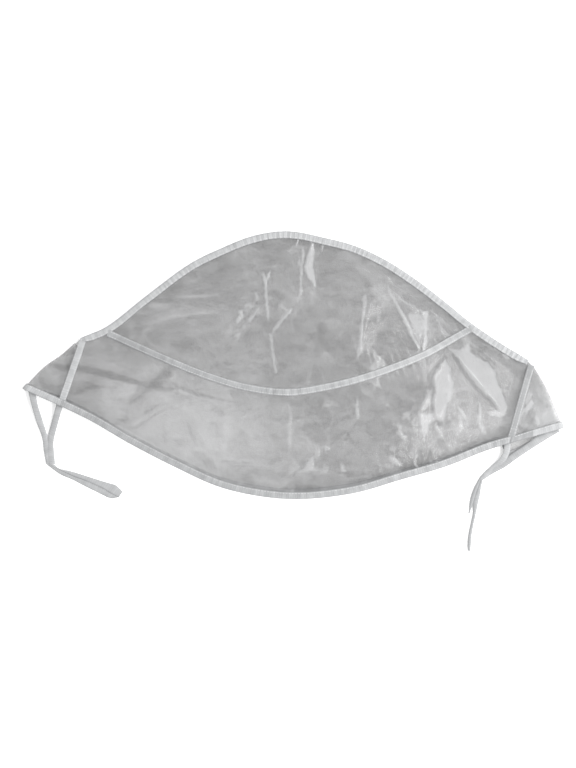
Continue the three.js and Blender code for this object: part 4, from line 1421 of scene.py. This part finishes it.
@dataclass(frozen=True)
class TapeFinish:
    """White woven-look tape; its tones and heights are those of mottling, ribs, bars and fine grain."""

    name: str
    dark: float
    light: float
    roughness: float = 0.42
    pitch: float = 0.0019
    density: float = 0.94
    dark_tint: float = 0.016
    light_tint: float = 0.014
    roughness_spread: float = 0.2
    mottle_scale: float = 160.0
    fine_scale: float = 1500.0
    bar_scale: float = 190.0
    middle: float = 0.6
    tones: tuple[float, ...] = (0.9, 0.12, 1.1, 0.3)
    heights: tuple[float, ...] = (0.0001, 0.00004, 0.0004, 0.00002)
    shade_tone: float = 1.2
    bump: float = 0.6

    def material(self) -> Material:
        """The tape's material: ribs across it from its own UV, and mottling from its place."""
        shader = Shader(self.name)
        where = shader.node("ShaderNodeTexCoord")
        split = shader.node("ShaderNodeSeparateXYZ", {}, {"Vector": where.outputs["UV"]})
        along = Term(shader, split.outputs[0])
        ribs = (along * (2 * math.pi / self.pitch)).sine()
        mottle = shader.noise(where.outputs["Object"], self.mottle_scale, 2.0)
        fine = shader.noise(where.outputs["Object"], self.fine_scale, 1.0)
        across = shader.node("ShaderNodeCombineXYZ", {}, {"X": along})
        bars = shader.noise(across.outputs[0], self.bar_scale, 2.0)
        mottle_tone, rib_tone, bar_tone, fine_tone = self.tones
        share = self.middle + (mottle - 0.5) * mottle_tone + ribs * rib_tone
        share = share + (bars - 0.5) * bar_tone + (fine - 0.5) * fine_tone
        # The stored shade darkens the tape: painted shade along its edges, and what each piece sets
        share = (share - shader.stored("shade") * self.shade_tone).clamped()
        dark, light = grey(self.dark, self.dark_tint), grey(self.light, self.light_tint)
        mottle_high, rib_high, bar_high, fine_high = self.heights
        height = ribs * rib_high + bars * bar_high + mottle * mottle_high + fine * fine_high
        return shader.finished(
            {
                "Base Color": shader.blend(share, dark, light),
                "Roughness": (self.roughness + (mottle - 0.5) * self.roughness_spread).clamped(),
                "Alpha": self.density,
                "Normal": shader.bumped(height, self.bump),
            }
        )


@dataclass(frozen=True)
class ThreadFinish:
    """White sewing thread, twisted."""

    name: str = "white_thread"
    tone: float = 0.78
    darkest: float = 0.8
    roughness: float = 0.6
    twist_scale: float = 2600.0
    twist_height: float = 0.00004
    bump: float = 0.6

    def material(self) -> Material:
        """The thread's material, with a fine grain for its twist."""
        shader = Shader(self.name)
        twist = shader.noise(shader.drawn(), self.twist_scale, 1.0)
        return shader.finished(
            {
                "Base Color": shader.blend(twist, grey(self.tone * self.darkest), grey(self.tone)),
                "Roughness": self.roughness,
                "Normal": shader.bumped(twist * self.twist_height, self.bump),
            }
        )


@dataclass(frozen=True)
class GroundFinish:
    """The plain pale floor."""

    name: str = "pale_floor"
    tone: float = 0.97
    glow: float = 0.3

    def material(self) -> Material:
        """A plain matte material."""
        shader = Shader(self.name)
        return shader.finished(
            {
                "Base Color": grey(self.tone),
                "Roughness": 0.9,
                "Specular IOR Level": 0.0,
                "Emission Color": grey(1.0),
                "Emission Strength": self.glow,
            }
        )


class Slot(Enum):
    """The record's material slots."""

    FILM = "film"
    TAPE = "tape"
    TIE = "tie"


def dress(piece: Piece, material: Material, slot: Slot, *nodes: str) -> Piece:
    """Gives a piece its material, and puts it on the part in place of its CAD nodes.

    Args:
        piece: the object, in place.
        material: its finish.
        slot: the record's slot; not used.
        nodes: the CAD nodes that it stands for.

    Returns:
        The piece.
    """
    piece.data.materials.append(material)
    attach(piece, "root")
    if nodes:
        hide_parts(*nodes)
    log.info("%s: %d faces", piece.name, len(piece.data.polygons))
    return piece


def thickened(piece: Piece) -> Piece:
    """Gives an open film its wall, half on each side."""
    solid = piece.modifiers.new("wall", "SOLIDIFY")
    solid.thickness = FILM_WALL
    solid.offset = 0
    solid.use_even_offset = False
    return piece


@dataclass
class FrontPanels:
    """The crown's lens of film and the visor's crescent, between the arch, the visor seam and the hem."""

    form: FrontForm
    film: Material
    lens_columns: int = 300
    corner_columns: tuple[int, int] = (24, 46)
    crown_rows: int = 120
    visor_rows: int = 108
    flake_calm: float = 0.85
    free_run: Pair = (0.002, 0.012)
    edge_step: int = 6

    def arch_stops(self) -> Array:
        """Row numbers along the arch's table at which columns stand."""
        first, last = self.corner_columns
        return np.concatenate(
            [
                np.linspace(0, LENS_FIRST_ROW, first, endpoint=False),
                np.linspace(LENS_FIRST_ROW, LENS_LAST_ROW, self.lens_columns, endpoint=False),
                np.linspace(LENS_LAST_ROW, len(ARCH) - 1, last),
            ]
        )

    def arch_edge(self) -> tuple[Array, Array]:
        """Points along the arch and the directions that lead into the film."""
        rows = np.linspace(0, len(ARCH) - 1, len(self.form.arch))
        points = picked(self.form.arch, rows, self.arch_stops())
        return points, square_to(directions(points), -1)

    def surface(self, low: Array, high: Array, rows: int) -> Skin:
        """The film between two plan lines at the front form's height, with the values of its finish and its
        painted light.
        """
        skin, _, _ = sheet_skin(low, high, rows)
        x, y = skin.points[:, 0], skin.points[:, 1]
        crease, lines = self.form.creased(x, y)
        flake, flakes = self.form.flaked(x, y)
        crumple, ridges = self.form.crumpled(x, y)
        crumple = crumple * (1 - self.flake_calm * np.clip(4 * flakes[0] - 2, 0, 1))
        gather = np.zeros_like(x)
        near = np.full_like(x, np.inf)
        ends = [np.array([low[end], high[end]]) for end in (0, -1)]
        for edge in (low[:: self.edge_step], high[:: self.edge_step], *ends):
            away, share = near_line(edge, x, y)
            near = np.minimum(near, np.abs(away))
            gather += self.form.puckers(share * arc_length(edge)[-1], np.abs(away))
        free = rise(*self.free_run, near)
        skin.points[:, 2] = self.form.level(x, y) + (crease + flake + crumple) * free + gather
        border, pale = overlaid(overlaid((ridges[0] * free, ridges[1]), flakes), lines)
        skin.values = {"tone": FilmTone().at(x, y), "border": border, "pale": pale}
        return skin

    def crown(self) -> Skin:
        """The lens between the visor seam and the arch."""
        points, inward = self.arch_edge()
        first = self.corner_columns[0]
        lens = slice(first, first + self.lens_columns + 1)
        seam = evenly(self.form.seam, self.lens_columns + 1)
        low = seam + square_to(directions(seam), 1) * JOINT_GAP / 2
        return self.surface(low, points[lens] + inward[lens] * EDGE_INSET, self.crown_rows)

    def visor(self) -> Skin:
        """The crescent between the front hem and the visor seam, reaching the arch beyond the corners."""
        high, inward = self.arch_edge()
        high = high + inward * EDGE_INSET
        first = self.corner_columns[0]
        seam = evenly(self.form.seam, self.lens_columns + 1)
        lens = slice(first, first + self.lens_columns + 1)
        below = seam - square_to(directions(seam), 1) * JOINT_GAP / 2
        fade = 1 - rise(0, 1, np.linspace(0, 1, first))[:, None]
        high[first - len(fade) : first] += (below[0] - high[first]) * fade[::-1]
        after = first + self.lens_columns + 1
        high[after : after + len(fade)] += (below[-1] - high[after - 1]) * fade
        high[lens] = below
        hem = evenly(self.form.hem, len(high))
        low = hem + square_to(directions(hem), 1) * EDGE_INSET
        for column, side in ((0, LEFT_SIDE), (-1, RIGHT_SIDE)):
            foot, top = spot([side.foot, side.top])
            along = unit(top - foot)
            shift = np.array([-side.outward * JOINT_GAP / 2, 0.0])
            low[column] = foot + along * EDGE_INSET + shift
            high[column] = top - along * EDGE_INSET + shift
        return self.surface(low, high, self.visor_rows)

    def build(self) -> list[Piece]:
        """Makes the crown's and the visor's film."""
        panels = (("crown_film", self.crown, "crown_panel"), ("visor_film", self.visor, "visor_panel"))
        return [
            dress(thickened(make().placed(name)), self.film, Slot.FILM, node) for name, make, node in panels
        ]


@dataclass
class BackPanel:
    """The back film, which folds round at both sides to the gusset flaps."""

    form: FrontForm
    film: Material
    fold_rows: int = 64
    flap_columns: int = 44
    roll_columns: int = 10
    arch_columns: int = 260
    back_rows: int = 90
    weld: float = 0.00002
    flap_bow: float = 0.7
    flap_form: float = 0.0009
    flap_sink: float = 0.0004
    flap_grain: Grain = (0.012, 31)
    ray_line: Pair = (0.0009, 0.0004)
    rays: Grain = (0.006, 32)
    ray_pale: float = 0.12
    ray_run: Pair = (0.1, 0.2)
    dip_run: Pair = (0.003, 0.016)
    ripple: float = 0.0004
    ripples: Grain = (0.014, 33)
    ripple_run: Pair = (0.006, 0.02)
    ripple_pale: float = 0.08
    long_line: Pair = (0.0006, 0.0003)
    long_lines: Grain = (0.02, 34)
    tone: Pair = (0.14, 0.45)

    def fold(self, side: Side) -> tuple[Array, Array, Array, Array]:
        """Rows of a flap from its hem to its top.

        Returns:
            The seam points, the fold's centre points, the directions from fold to seam, and the levels.
        """
        line = smooth_line(spot(side.fold))
        fold_length = arc_length(line)
        foot, top = spot([side.foot, side.top])
        seam_length = float(np.linalg.norm(top - foot))
        run = np.linspace(EDGE_INSET, fold_length[-1] - FLAP_TOP_INSET, self.fold_rows)
        fold = picked(line, fold_length, run)
        reach = np.linspace(EDGE_INSET, seam_length - FLAP_TOP_INSET, self.fold_rows)[:, None]
        seam = foot + unit(top - foot) * reach + [side.outward * JOINT_GAP / 2, 0.0]
        level = self.form.level(self.form.seam_across(side, seam[:, 1]), seam[:, 1])
        inner = unit(seam - fold)
        centre = fold + inner * ((level - BACK_LEVEL) / 2 + FILM_WALL / 2)[:, None]
        return seam, centre, inner, level

    def flap(self, side: Side) -> Skin:
        """A flap: straight from the seam to the fold, then round a half circle down to the back layer."""
        seam, centre, inner, level = self.fold(side)
        share = np.linspace(0, 1, self.flap_columns)[None, :, None]
        flat = seam[:, None] * (1 - share) + centre[:, None] * share
        flat = np.concatenate([flat, np.broadcast_to(level[:, None, None], (*flat.shape[:2], 1))], axis=2)
        x, y = flat[..., 0], flat[..., 1]
        free = np.sin(np.pi * np.clip(share[..., 0], 0, 1)) ** self.flap_bow
        form = self.flap_form * ridges(x, y * 0.7 + x, *self.flap_grain) ** 2
        flat[..., 2] += free * (form - self.flap_sink)
        radius = ((level - BACK_LEVEL) / 2)[:, None]
        angle = np.linspace(0, np.pi, self.roll_columns)[None, 1:]
        out = -np.sin(angle) * radius
        roll = np.concatenate(
            [
                centre[:, None] + inner[:, None] * out[..., None],
                (BACK_LEVEL + radius * (1 + np.cos(angle)))[..., None],
            ],
            axis=2,
        )
        points = np.concatenate([flat, roll], axis=1)
        columns = points.shape[1]
        points = points.reshape(-1, 3)
        x, y = points[:, 0], points[:, 1]
        high, edge = self.ray_line
        # Pale rays, paler towards the right: crease whitening with a painted highlight
        rays = bordered(high * ridges(x * 1.2, y * 1.2, *self.rays) ** 6 - edge)
        marks = overlaid((rays, self.ray_pale * rise(*self.ray_run, x)), self.form.flaked(x, y)[1])
        return Skin(
            points,
            grid_faces(self.fold_rows, columns),
            points[:, :2].copy(),
            {"tone": FilmTone().at(x, y), "border": marks[0], "pale": marks[1]},
        )

    def layer(self) -> Skin:
        """The lower layer, from the back hem up to the folds and the arch, close to the ground inside."""
        arch = evenly(self.form.arch, self.arch_columns)
        arch = arch + square_to(directions(arch), -1) * EDGE_INSET
        left, right = self.fold(LEFT_SIDE)[1], self.fold(RIGHT_SIDE)[1]
        high = np.vstack([left, arch, right[::-1]])
        low = evenly(smooth_line(spot(BACK_HEM)), len(high)) + [0.0, EDGE_INSET]
        low[0], low[-1] = left[0], right[0]
        skin, share, depth = sheet_skin(low, high, self.back_rows)
        x, y = skin.points[:, 0], skin.points[:, 1]
        near = np.minimum(share, 1 - share) * depth
        dip = (BACK_LEVEL - GROUND_GAP) * rise(*self.dip_run, near)
        ripple = self.ripple * value_noise(x, y * 0.6, *self.ripples)
        ripple = ripple * rise(*self.ripple_run, near)
        skin.points[:, 2] = BACK_LEVEL - dip + ripple
        ridge, edge = self.long_line
        skin.values = {
            "tone": self.tone[0] + self.tone[1] * FilmTone().at(x, y),
            "border": bordered(ridge * ridges(x, y, *self.long_lines) ** 14 - edge),
            # The long lines are paler where the ripple stands higher: a painted highlight on its tops
            "pale": self.ripple_pale * ripple / self.ripple,
        }
        return skin

    def build(self) -> Piece:
        """Makes the back film: the layer and both flaps, welded along the folds."""
        skin = Skin.whole([self.layer(), self.flap(LEFT_SIDE), self.flap(RIGHT_SIDE)])
        piece = thickened(skin.placed("back_film", weld=self.weld))
        return dress(piece, self.film, Slot.FILM, "back_panel")


@dataclass
class Stitching:
    """Rows of sewn stitches: short threads, each a small six-sided rod that dips at its ends."""

    thread: Material
    pitch: float = 0.0026
    long: float = 0.0018
    thick: float = 0.00034
    sides: int = 6
    shares: tuple[float, ...] = (-0.5, -0.3, 0.3, 0.5)
    sinks: tuple[float, ...] = (-0.4, 0.25, 0.25, -0.4)
    swells: tuple[float, ...] = (0.45, 1.0, 1.0, 0.45)

    def row(self, line: Array, normal: Array) -> Skin:
        """Stitches along a line on a tape.

        Args:
            line: points on the tape's face.
            normal: the face's direction at each point.

        Returns:
            A skin of separate closed rods.
        """
        length = arc_length(line)
        starts = np.arange(self.pitch, length[-1] - self.pitch, self.pitch)
        rings, size = len(self.shares), len(self.shares) * self.sides
        sink = np.array(self.sinks) * self.thick
        swell = np.array(self.swells) * self.thick / 2
        where = (starts[:, None] + np.array(self.shares)[None, :] * self.long).ravel()
        middle = picked(line, length, where).reshape(len(starts), rings, 3)
        up = unit(picked(normal, length, where)).reshape(len(starts), rings, 3)
        along = unit(middle[:, -1:] - middle[:, :1])
        side = unit(np.cross(np.broadcast_to(along, up.shape), up))
        middle = middle + up * sink[None, :, None]
        angle = np.linspace(0, 2 * np.pi, self.sides, endpoint=False)[None, None, :, None]
        ring = side[:, :, None] * np.cos(angle) + up[:, :, None] * np.sin(angle)
        points = middle[:, :, None] + ring * swell[None, :, None, None]
        base = (np.arange(len(starts)) * size)[:, None, None]
        tube = tube_faces(rings, self.sides)
        faces = (base + np.array(tube[:-2])).reshape(-1, 4).tolist()
        faces += (base + np.array(tube[-2:])).reshape(-1, self.sides).tolist()
        flat = points.reshape(-1, 3)
        return Skin(flat, faces, flat[:, :2].copy())

    def place(self, skins: list[Skin], name: str) -> Piece:
        """Makes the rows one piece on its tape."""
        return dress(Skin.whole(skins).placed(name), self.thread, Slot.TAPE)


@dataclass
class Tapes:
    """The binding tapes: folded round the arch and the hems, flat over the visor and side seams."""

    form: FrontForm
    tape: Material
    stitching: Stitching
    wall: float = TAPE_WALL
    reach: float = TAPE_WIDTH - EDGE_INSET
    step: float = 0.0009
    stitch_inset: float = 0.0011
    arch_ease: float = 0.0003
    arch_gather: float = 0.00026
    arch_pitch: float = 0.0044
    corner_run: float = 0.012
    corner_narrow: float = 0.3
    arch_uneven: float = 0.05
    arch_widths: Grain = (0.008, 42)
    hem_ease: float = 0.0006
    hem_gather: float = 0.00012
    corner_turn: float = 0.006
    tip_gap: float = 0.002
    tip_stations: int = 34
    roll_stations: int = 14
    flat_lift: float = 0.0007
    flat_gather: float = 0.00014
    flat_stitch: float = 0.0019
    stitch_sink: float = 0.62
    over_arch: float = 0.001
    over_run: Pair = (0.012, 0.003)
    seam_points: int = 60

    def count(self, line: Array) -> int:
        """How many stations a line gets."""
        return int(arc_length(line)[-1] / self.step) + 2

    def arch(self) -> list[Piece]:
        """The tape folded over the arch, round the edges of the front and the back film."""
        line = evenly(self.form.arch, self.count(self.form.arch))
        inward = square_to(directions(line), -1)
        at = line + inward * EDGE_INSET
        level = (BACK_LEVEL + ARCH_LEVEL) / 2
        stations, frames, normals = raised(at, level), raised(inward), upright(len(at))
        half = (ARCH_LEVEL - BACK_LEVEL) / 2 + self.arch_ease
        lift = gathers(arc_length(stations), self.arch_gather, Seed.ARCH_TAPE, self.arch_pitch)
        run = arc_length(line)
        full = rise(0, self.corner_run, run) * rise(0, self.corner_run, run[-1] - run)
        uneven = self.arch_uneven * (value_noise(run, 0 * run, *self.arch_widths) - 0.5)
        frames = frames * (1 - self.corner_narrow + self.corner_narrow * full + uneven)[:, None]
        return self.folded(stations, frames, normals, half, lift, "arch_tape", "crown_seam_tape")

    def folded(
        self, stations: Array, inward: Array, normals: Array, half: float, lift: Array, name: str,
        node: str, shade: float | Array = 0.0,
    ) -> list[Piece]:
        """A tape folded round an edge.

        Args:
            stations: points on the edge.
            inward: directions into the film.
            normals: the film's upper side.
            half: half the free height between the tape's legs.
            lift: the height of its gathers.
            name: the piece's name.
            node: the CAD node that it replaces.
            shade: how far its finish is darkened.

        Returns:
            The tape and its stitches.
        """
        skin = swept(stations, inward, normals, folded_profile(self.reach, half, self.wall), lift, shade)
        piece = dress(skin.placed(name), self.tape, Slot.TAPE, node)
        over = normals * (half + self.wall + lift)[:, None]
        line = stations + inward * (self.reach - self.stitch_inset) + over
        sewn = self.stitching.place([self.stitching.row(line, normals)], name.replace("tape", "stitches"))
        return [piece, sewn]

    def hem(
        self, edge: tuple[Array, Array, Array], node: str, seed: int, shade: float | Array
    ) -> list[Piece]:
        """A tape folded round a single film edge, given as stations, inward directions and normals."""
        lift = gathers(arc_length(edge[0]), self.hem_gather, seed)
        half = FILM_WALL / 2 + self.hem_ease
        return self.folded(*edge, half, lift, node + "_cover", node, shade)

    def front_hem(self) -> list[Piece]:
        """The tape round the visor's lower edge."""
        line = evenly(self.form.hem, self.count(self.form.hem))
        inward = square_to(directions(line), 1)
        for end, side in ((0, LEFT_SIDE), (-1, RIGHT_SIDE)):
            foot, top = spot([side.foot, side.top])
            ramp = np.exp(-arc_length(line if end == 0 else line[::-1]) / self.corner_turn)[:, None]
            ramp = ramp if end == 0 else ramp[::-1]
            inward = unit(inward * (1 - ramp) + unit(top - foot) * ramp)
        at = line + inward * EDGE_INSET
        edge = (raised(at, self.form.level(*at.T)), raised(inward), upright(len(at)))
        return self.hem(edge, "front_hem_tape", Seed.FRONT_HEM, FRONT_HEM_SHADE)

    def tip(self, back: BackPanel, side: Side) -> tuple[Array, Array, Array]:
        """Stations round a folded tip: along the flap's hem from the seam, then round the fold."""
        seam, centre, inner, level = back.fold(side)
        foot, top = spot([side.foot, side.top])
        up = unit(top - foot)
        along = unit(centre[3] - centre[0])
        radius = (level[0] - BACK_LEVEL) / 2
        share = np.linspace(0, 1, self.tip_stations, endpoint=False)[:, None]
        flat = seam[0] * (1 - share) + centre[0] * share
        angle = np.linspace(0, np.pi, self.roll_stations)[:, None]
        outward = np.append(-inner[0], 0.0)
        normal = outward * np.sin(angle) + np.array([0, 0, 1.0]) * np.cos(angle)
        middle = np.append(centre[0], BACK_LEVEL + radius)
        roll = middle + normal * radius
        inward = [unit(up * (1 - share) + along * share), np.tile(along, (self.roll_stations, 1))]
        normals = np.vstack([upright(self.tip_stations), normal])
        return np.vstack([raised(flat, level[0]), roll]), raised(np.vstack(inward)), normals

    def back_hem(self, back: BackPanel) -> list[Piece]:
        """The tape round the back film's lower edge and both folded tips."""
        left, right = self.tip(back, LEFT_SIDE), self.tip(back, RIGHT_SIDE)
        line = smooth_line(spot(BACK_HEM)) + [0.0, EDGE_INSET]
        line = evenly(line, self.count(line))
        first, last = left[0][-1, 0] + self.tip_gap, right[0][-1, 0] - self.tip_gap
        line = line[(line[:, 0] > first) & (line[:, 0] < last)]
        stations = np.vstack([left[0], raised(line, BACK_LEVEL), right[0][::-1]])
        inward = np.vstack([left[1], np.tile([0.0, 1.0, 0.0], (len(line), 1)), right[1][::-1]])
        normals = np.vstack([left[2], upright(len(line), -1.0), right[2][::-1]])
        share = (stations[:, 0] - MIDDLE[0]) / (BODY_WIDTH / 2)
        shade = BACK_HEM_SHADE * rise(*SHADE_START, share) * rise(*SHADE_END, share)
        return self.hem((stations, inward, normals), "back_hem_tape", Seed.BACK_HEM, shade)

    def flat(
        self, line: Array, name: str, node: str, seed: int, trim: Pair, over_arch: float = 0.0,
        shade: float = 0.0,
    ) -> list[Piece]:
        """A flat tape over a joint, at the film's level.

        Args:
            line: plan points along the joint.
            name: the piece's name.
            node: the CAD node that it replaces.
            seed: of its gathers.
            trim: what is left free at the start and at the end.
            over_arch: how far its end is lifted, over the arch's tape.
            shade: how far its finish is darkened.

        Returns:
            The tape and its two rows of stitches.
        """
        length = arc_length(line)
        count = int((length[-1] - sum(trim)) / self.step)
        plan = picked(line, length, np.linspace(trim[0], length[-1] - trim[1], count))
        side = square_to(directions(plan), 1)
        half_width = TAPE_WIDTH / 2
        levels = [self.form.level(*(plan + side * s * half_width).T) for s in (-1.0, 0.0, 1.0)]
        run = arc_length(plan)
        z = np.max(levels, axis=0) + over_arch * rise(*self.over_run, run[-1] - run)
        lift = gathers(run, self.flat_gather, seed)
        stations = raised(plan, z + self.flat_lift + lift)
        along = directions(stations)
        frames = unit(raised(side, (levels[-1] - levels[0]) / TAPE_WIDTH))
        normals = unit(np.cross(along, frames))
        normals = normals * np.sign(normals[:, 2:3])
        skin = swept(stations, frames, normals, flat_profile(TAPE_WIDTH, self.wall), shade=shade)
        piece = dress(skin.placed(name), self.tape, Slot.TAPE, node)
        face = normals * self.wall * self.stitch_sink
        lines = [stations + frames * s * self.flat_stitch + face for s in (-1.0, 1.0)]
        rows = [self.stitching.row(line, normals) for line in lines]
        return [piece, self.stitching.place(rows, name + "_stitches")]

    def seam_line(self, side: Side) -> Array:
        """Plan points up a side seam."""
        return evenly(spot([side.foot, side.top]), self.seam_points)


@dataclass
class Ties:
    """The two tie loops: flat ribbons of tape between two edge lines, laid over each other."""

    tie: Material
    wall: float = 0.0007
    bow: float = 0.00025
    step: float = 0.0008
    columns: int = 7
    line_parts: int = 24
    rim: float = 0.35
    wave: float = 0.0002
    wave_cell: float = 0.012

    def ribbon(self, cuts: Sequence[Cut], seed: int, shade: float) -> Skin:
        """A ribbon through its cuts.

        The edges are smooth lines through the cuts' ends. Across, the ribbon bows up by bow·(1 - s²), and
        along it by slow noise.

        Args:
            cuts: the ribbon's table.
            seed: of its unevenness.
            shade: how far its finish is darkened.

        Returns:
            A closed skin.
        """
        left = spot([(cut.left_across, cut.left_up) for cut in cuts])
        right = spot([(cut.right_across, cut.right_up) for cut in cuts])
        level = np.array([[cut.level] for cut in cuts])
        edges = smooth_line(np.hstack([left, right, level]), self.line_parts)
        middle = (edges[:, :2] + edges[:, 2:4]) / 2
        length = arc_length(middle)
        edges = picked(edges, length, np.linspace(0, length[-1], int(length[-1] / self.step) + 2))
        s = np.concatenate([np.linspace(-1, 1, self.columns), np.linspace(1, -1, self.columns)])
        top = np.concatenate([np.ones(self.columns), -np.ones(self.columns)])
        top[np.abs(s) == 1.0] *= self.rim
        share = ((1 + s) / 2)[None, :, None]
        plan = edges[:, None, :2] * (1 - share) + edges[:, None, 2:4] * share
        run = arc_length((edges[:, :2] + edges[:, 2:4]) / 2)
        wave = self.wave * (value_noise(run, 0 * run, self.wave_cell, seed) - 0.5)
        z = edges[:, 4:5] + wave[:, None] + top[None] * self.wall / 2 + self.bow * (1 - s**2)[None]
        points = np.concatenate([plan, z[..., None]], axis=2)
        uv = np.column_stack([np.repeat(run, len(s)), np.tile(s, len(points)) * TAPE_WIDTH / 2])
        # Painted shade along both edges of the ribbon
        rim = shade + RIM_SHADE * (np.abs(s) == 1.0)
        faces = tube_faces(len(points), len(s))
        return Skin(points.reshape(-1, 3), faces, uv, {"shade": np.tile(rim, len(points))})

    def build(
        self, ribbons: Sequence[Sequence[Cut]], shades: Sequence[float], name: str, node: str
    ) -> Piece:
        """Makes one tie from its ribbons.

        Args:
            ribbons: the tables of its ribbons.
            shades: how far each ribbon's finish is darkened.
            name: the piece's name.
            node: the CAD node that it replaces.

        Returns:
            The piece.
        """
        rows = enumerate(zip(ribbons, shades))
        skins = [self.ribbon(cuts, Seed.TIES + k, shade) for k, (cuts, shade) in rows]
        return dress(Skin.whole(skins).placed(name), self.tie, Slot.TIE, node)


@dataclass
class Studio:
    """The pale floor, the soft light and the camera straight above."""

    floor_half: float = 4.0
    floor_level: float = -0.0002
    view_middle: Pair = (-0.0043, 0.0061)
    view_height: float = 0.6525
    lens: float = 100.0
    sensor: float = 36.0
    sky: float = 0.74
    key_tilt: float = 36.0
    key_turn: float = 0.0
    key_reach: float = 2.0
    key_size: Pair = (0.7, 3.0)
    key_power: float = 52.0

    def floor(self) -> None:
        """A wide plain floor just under the bonnet."""
        mesh = bpy.data.meshes.new("floor")
        half, z = self.floor_half, self.floor_level
        corners = [(-half, -half, z), (half, -half, z), (half, half, z), (-half, half, z)]
        mesh.from_pydata(corners, [], [(0, 1, 2, 3)])
        mesh.materials.append(GroundFinish().material())
        linked("floor", mesh)

    def light(self) -> None:
        """An even pale sky, and one soft box over the right side."""
        world = bpy.data.worlds.new("studio")
        world.use_nodes = True
        sky = world.node_tree.nodes["Background"]
        sky.inputs["Color"].default_value = grey(1.0)
        sky.inputs["Strength"].default_value = self.sky
        bpy.context.scene.world = world
        lamp = bpy.data.lights.new("soft_box", "AREA")
        lamp.shape = "RECTANGLE"
        lamp.size, lamp.size_y = self.key_size
        lamp.energy = self.key_power
        box = linked("soft_box", lamp)
        tilt, turn = math.radians(self.key_tilt), math.radians(self.key_turn)
        box.location = (
            self.key_reach * math.sin(tilt) * math.cos(turn),
            self.key_reach * math.sin(tilt) * math.sin(turn),
            self.key_reach * math.cos(tilt),
        )
        box.rotation_euler = (0.0, tilt, turn)
        box.visible_camera = False

    def camera(self) -> None:
        """The camera straight above, with the photograph's frame."""
        lens = bpy.data.cameras.new("above")
        lens.sensor_fit = "VERTICAL"
        lens.sensor_height = self.sensor
        lens.lens = self.lens
        lens.clip_end = 50.0
        eye = linked("above", lens)
        eye.location = (*self.view_middle, self.view_height * self.lens / self.sensor)
        bpy.context.scene.camera = eye
        bpy.context.scene.view_settings.view_transform = "Standard"

    def build(self) -> None:
        """Sets the whole studio up."""
        self.floor()
        self.light()
        self.camera()


def main() -> None:
    """Builds the bonnet's pieces in order and sets the studio up."""
    Studio().build()
    form = FrontForm()
    film = FilmFinish().material()
    tape = TapeFinish("binding_tape", 0.31, 0.52).material()
    tie = TapeFinish("tie_tape", 0.33, 0.47).material()
    back = BackPanel(form, film)
    back_film = back.build()
    crown_film, visor_film = FrontPanels(form, film).build()
    tapes = Tapes(form, tape, Stitching(ThreadFinish().material()))
    arch = tapes.arch()
    back_hem = tapes.back_hem(back)
    front_hem = tapes.front_hem()
    names = ("lens_seam_tape", "visor_seam_tape")
    seam_tape = tapes.flat(form.seam, *names, Seed.LENS_SEAM, (0.0, 0.0), shade=LENS_SEAM_SHADE)
    names = ("side_tape_left", "side_seam_tape_left")
    left = tapes.flat(tapes.seam_line(LEFT_SIDE), *names, Seed.LEFT_SIDE, LEFT_TRIM, tapes.over_arch)
    names = ("side_tape_right", "side_seam_tape_right")
    line = tapes.seam_line(RIGHT_SIDE)
    right = tapes.flat(line, *names, Seed.RIGHT_SIDE, RIGHT_TRIM, tapes.over_arch, RIGHT_SIDE_SHADE)
    ties = Ties(tie)
    left_ribbons = (LEFT_OUTER, LEFT_INNER, LEFT_LOWER, LEFT_UPPER)
    right_ribbons = (RIGHT_OUTER, RIGHT_INNER, RIGHT_SHORT, RIGHT_LONG)
    ties.build(left_ribbons, LEFT_TIE_SHADES, "tie_loop_left", "tie_left")
    ties.build(right_ribbons, RIGHT_TIE_SHADES, "tie_loop_right", "tie_right")


if __name__ == "__main__":
    main()
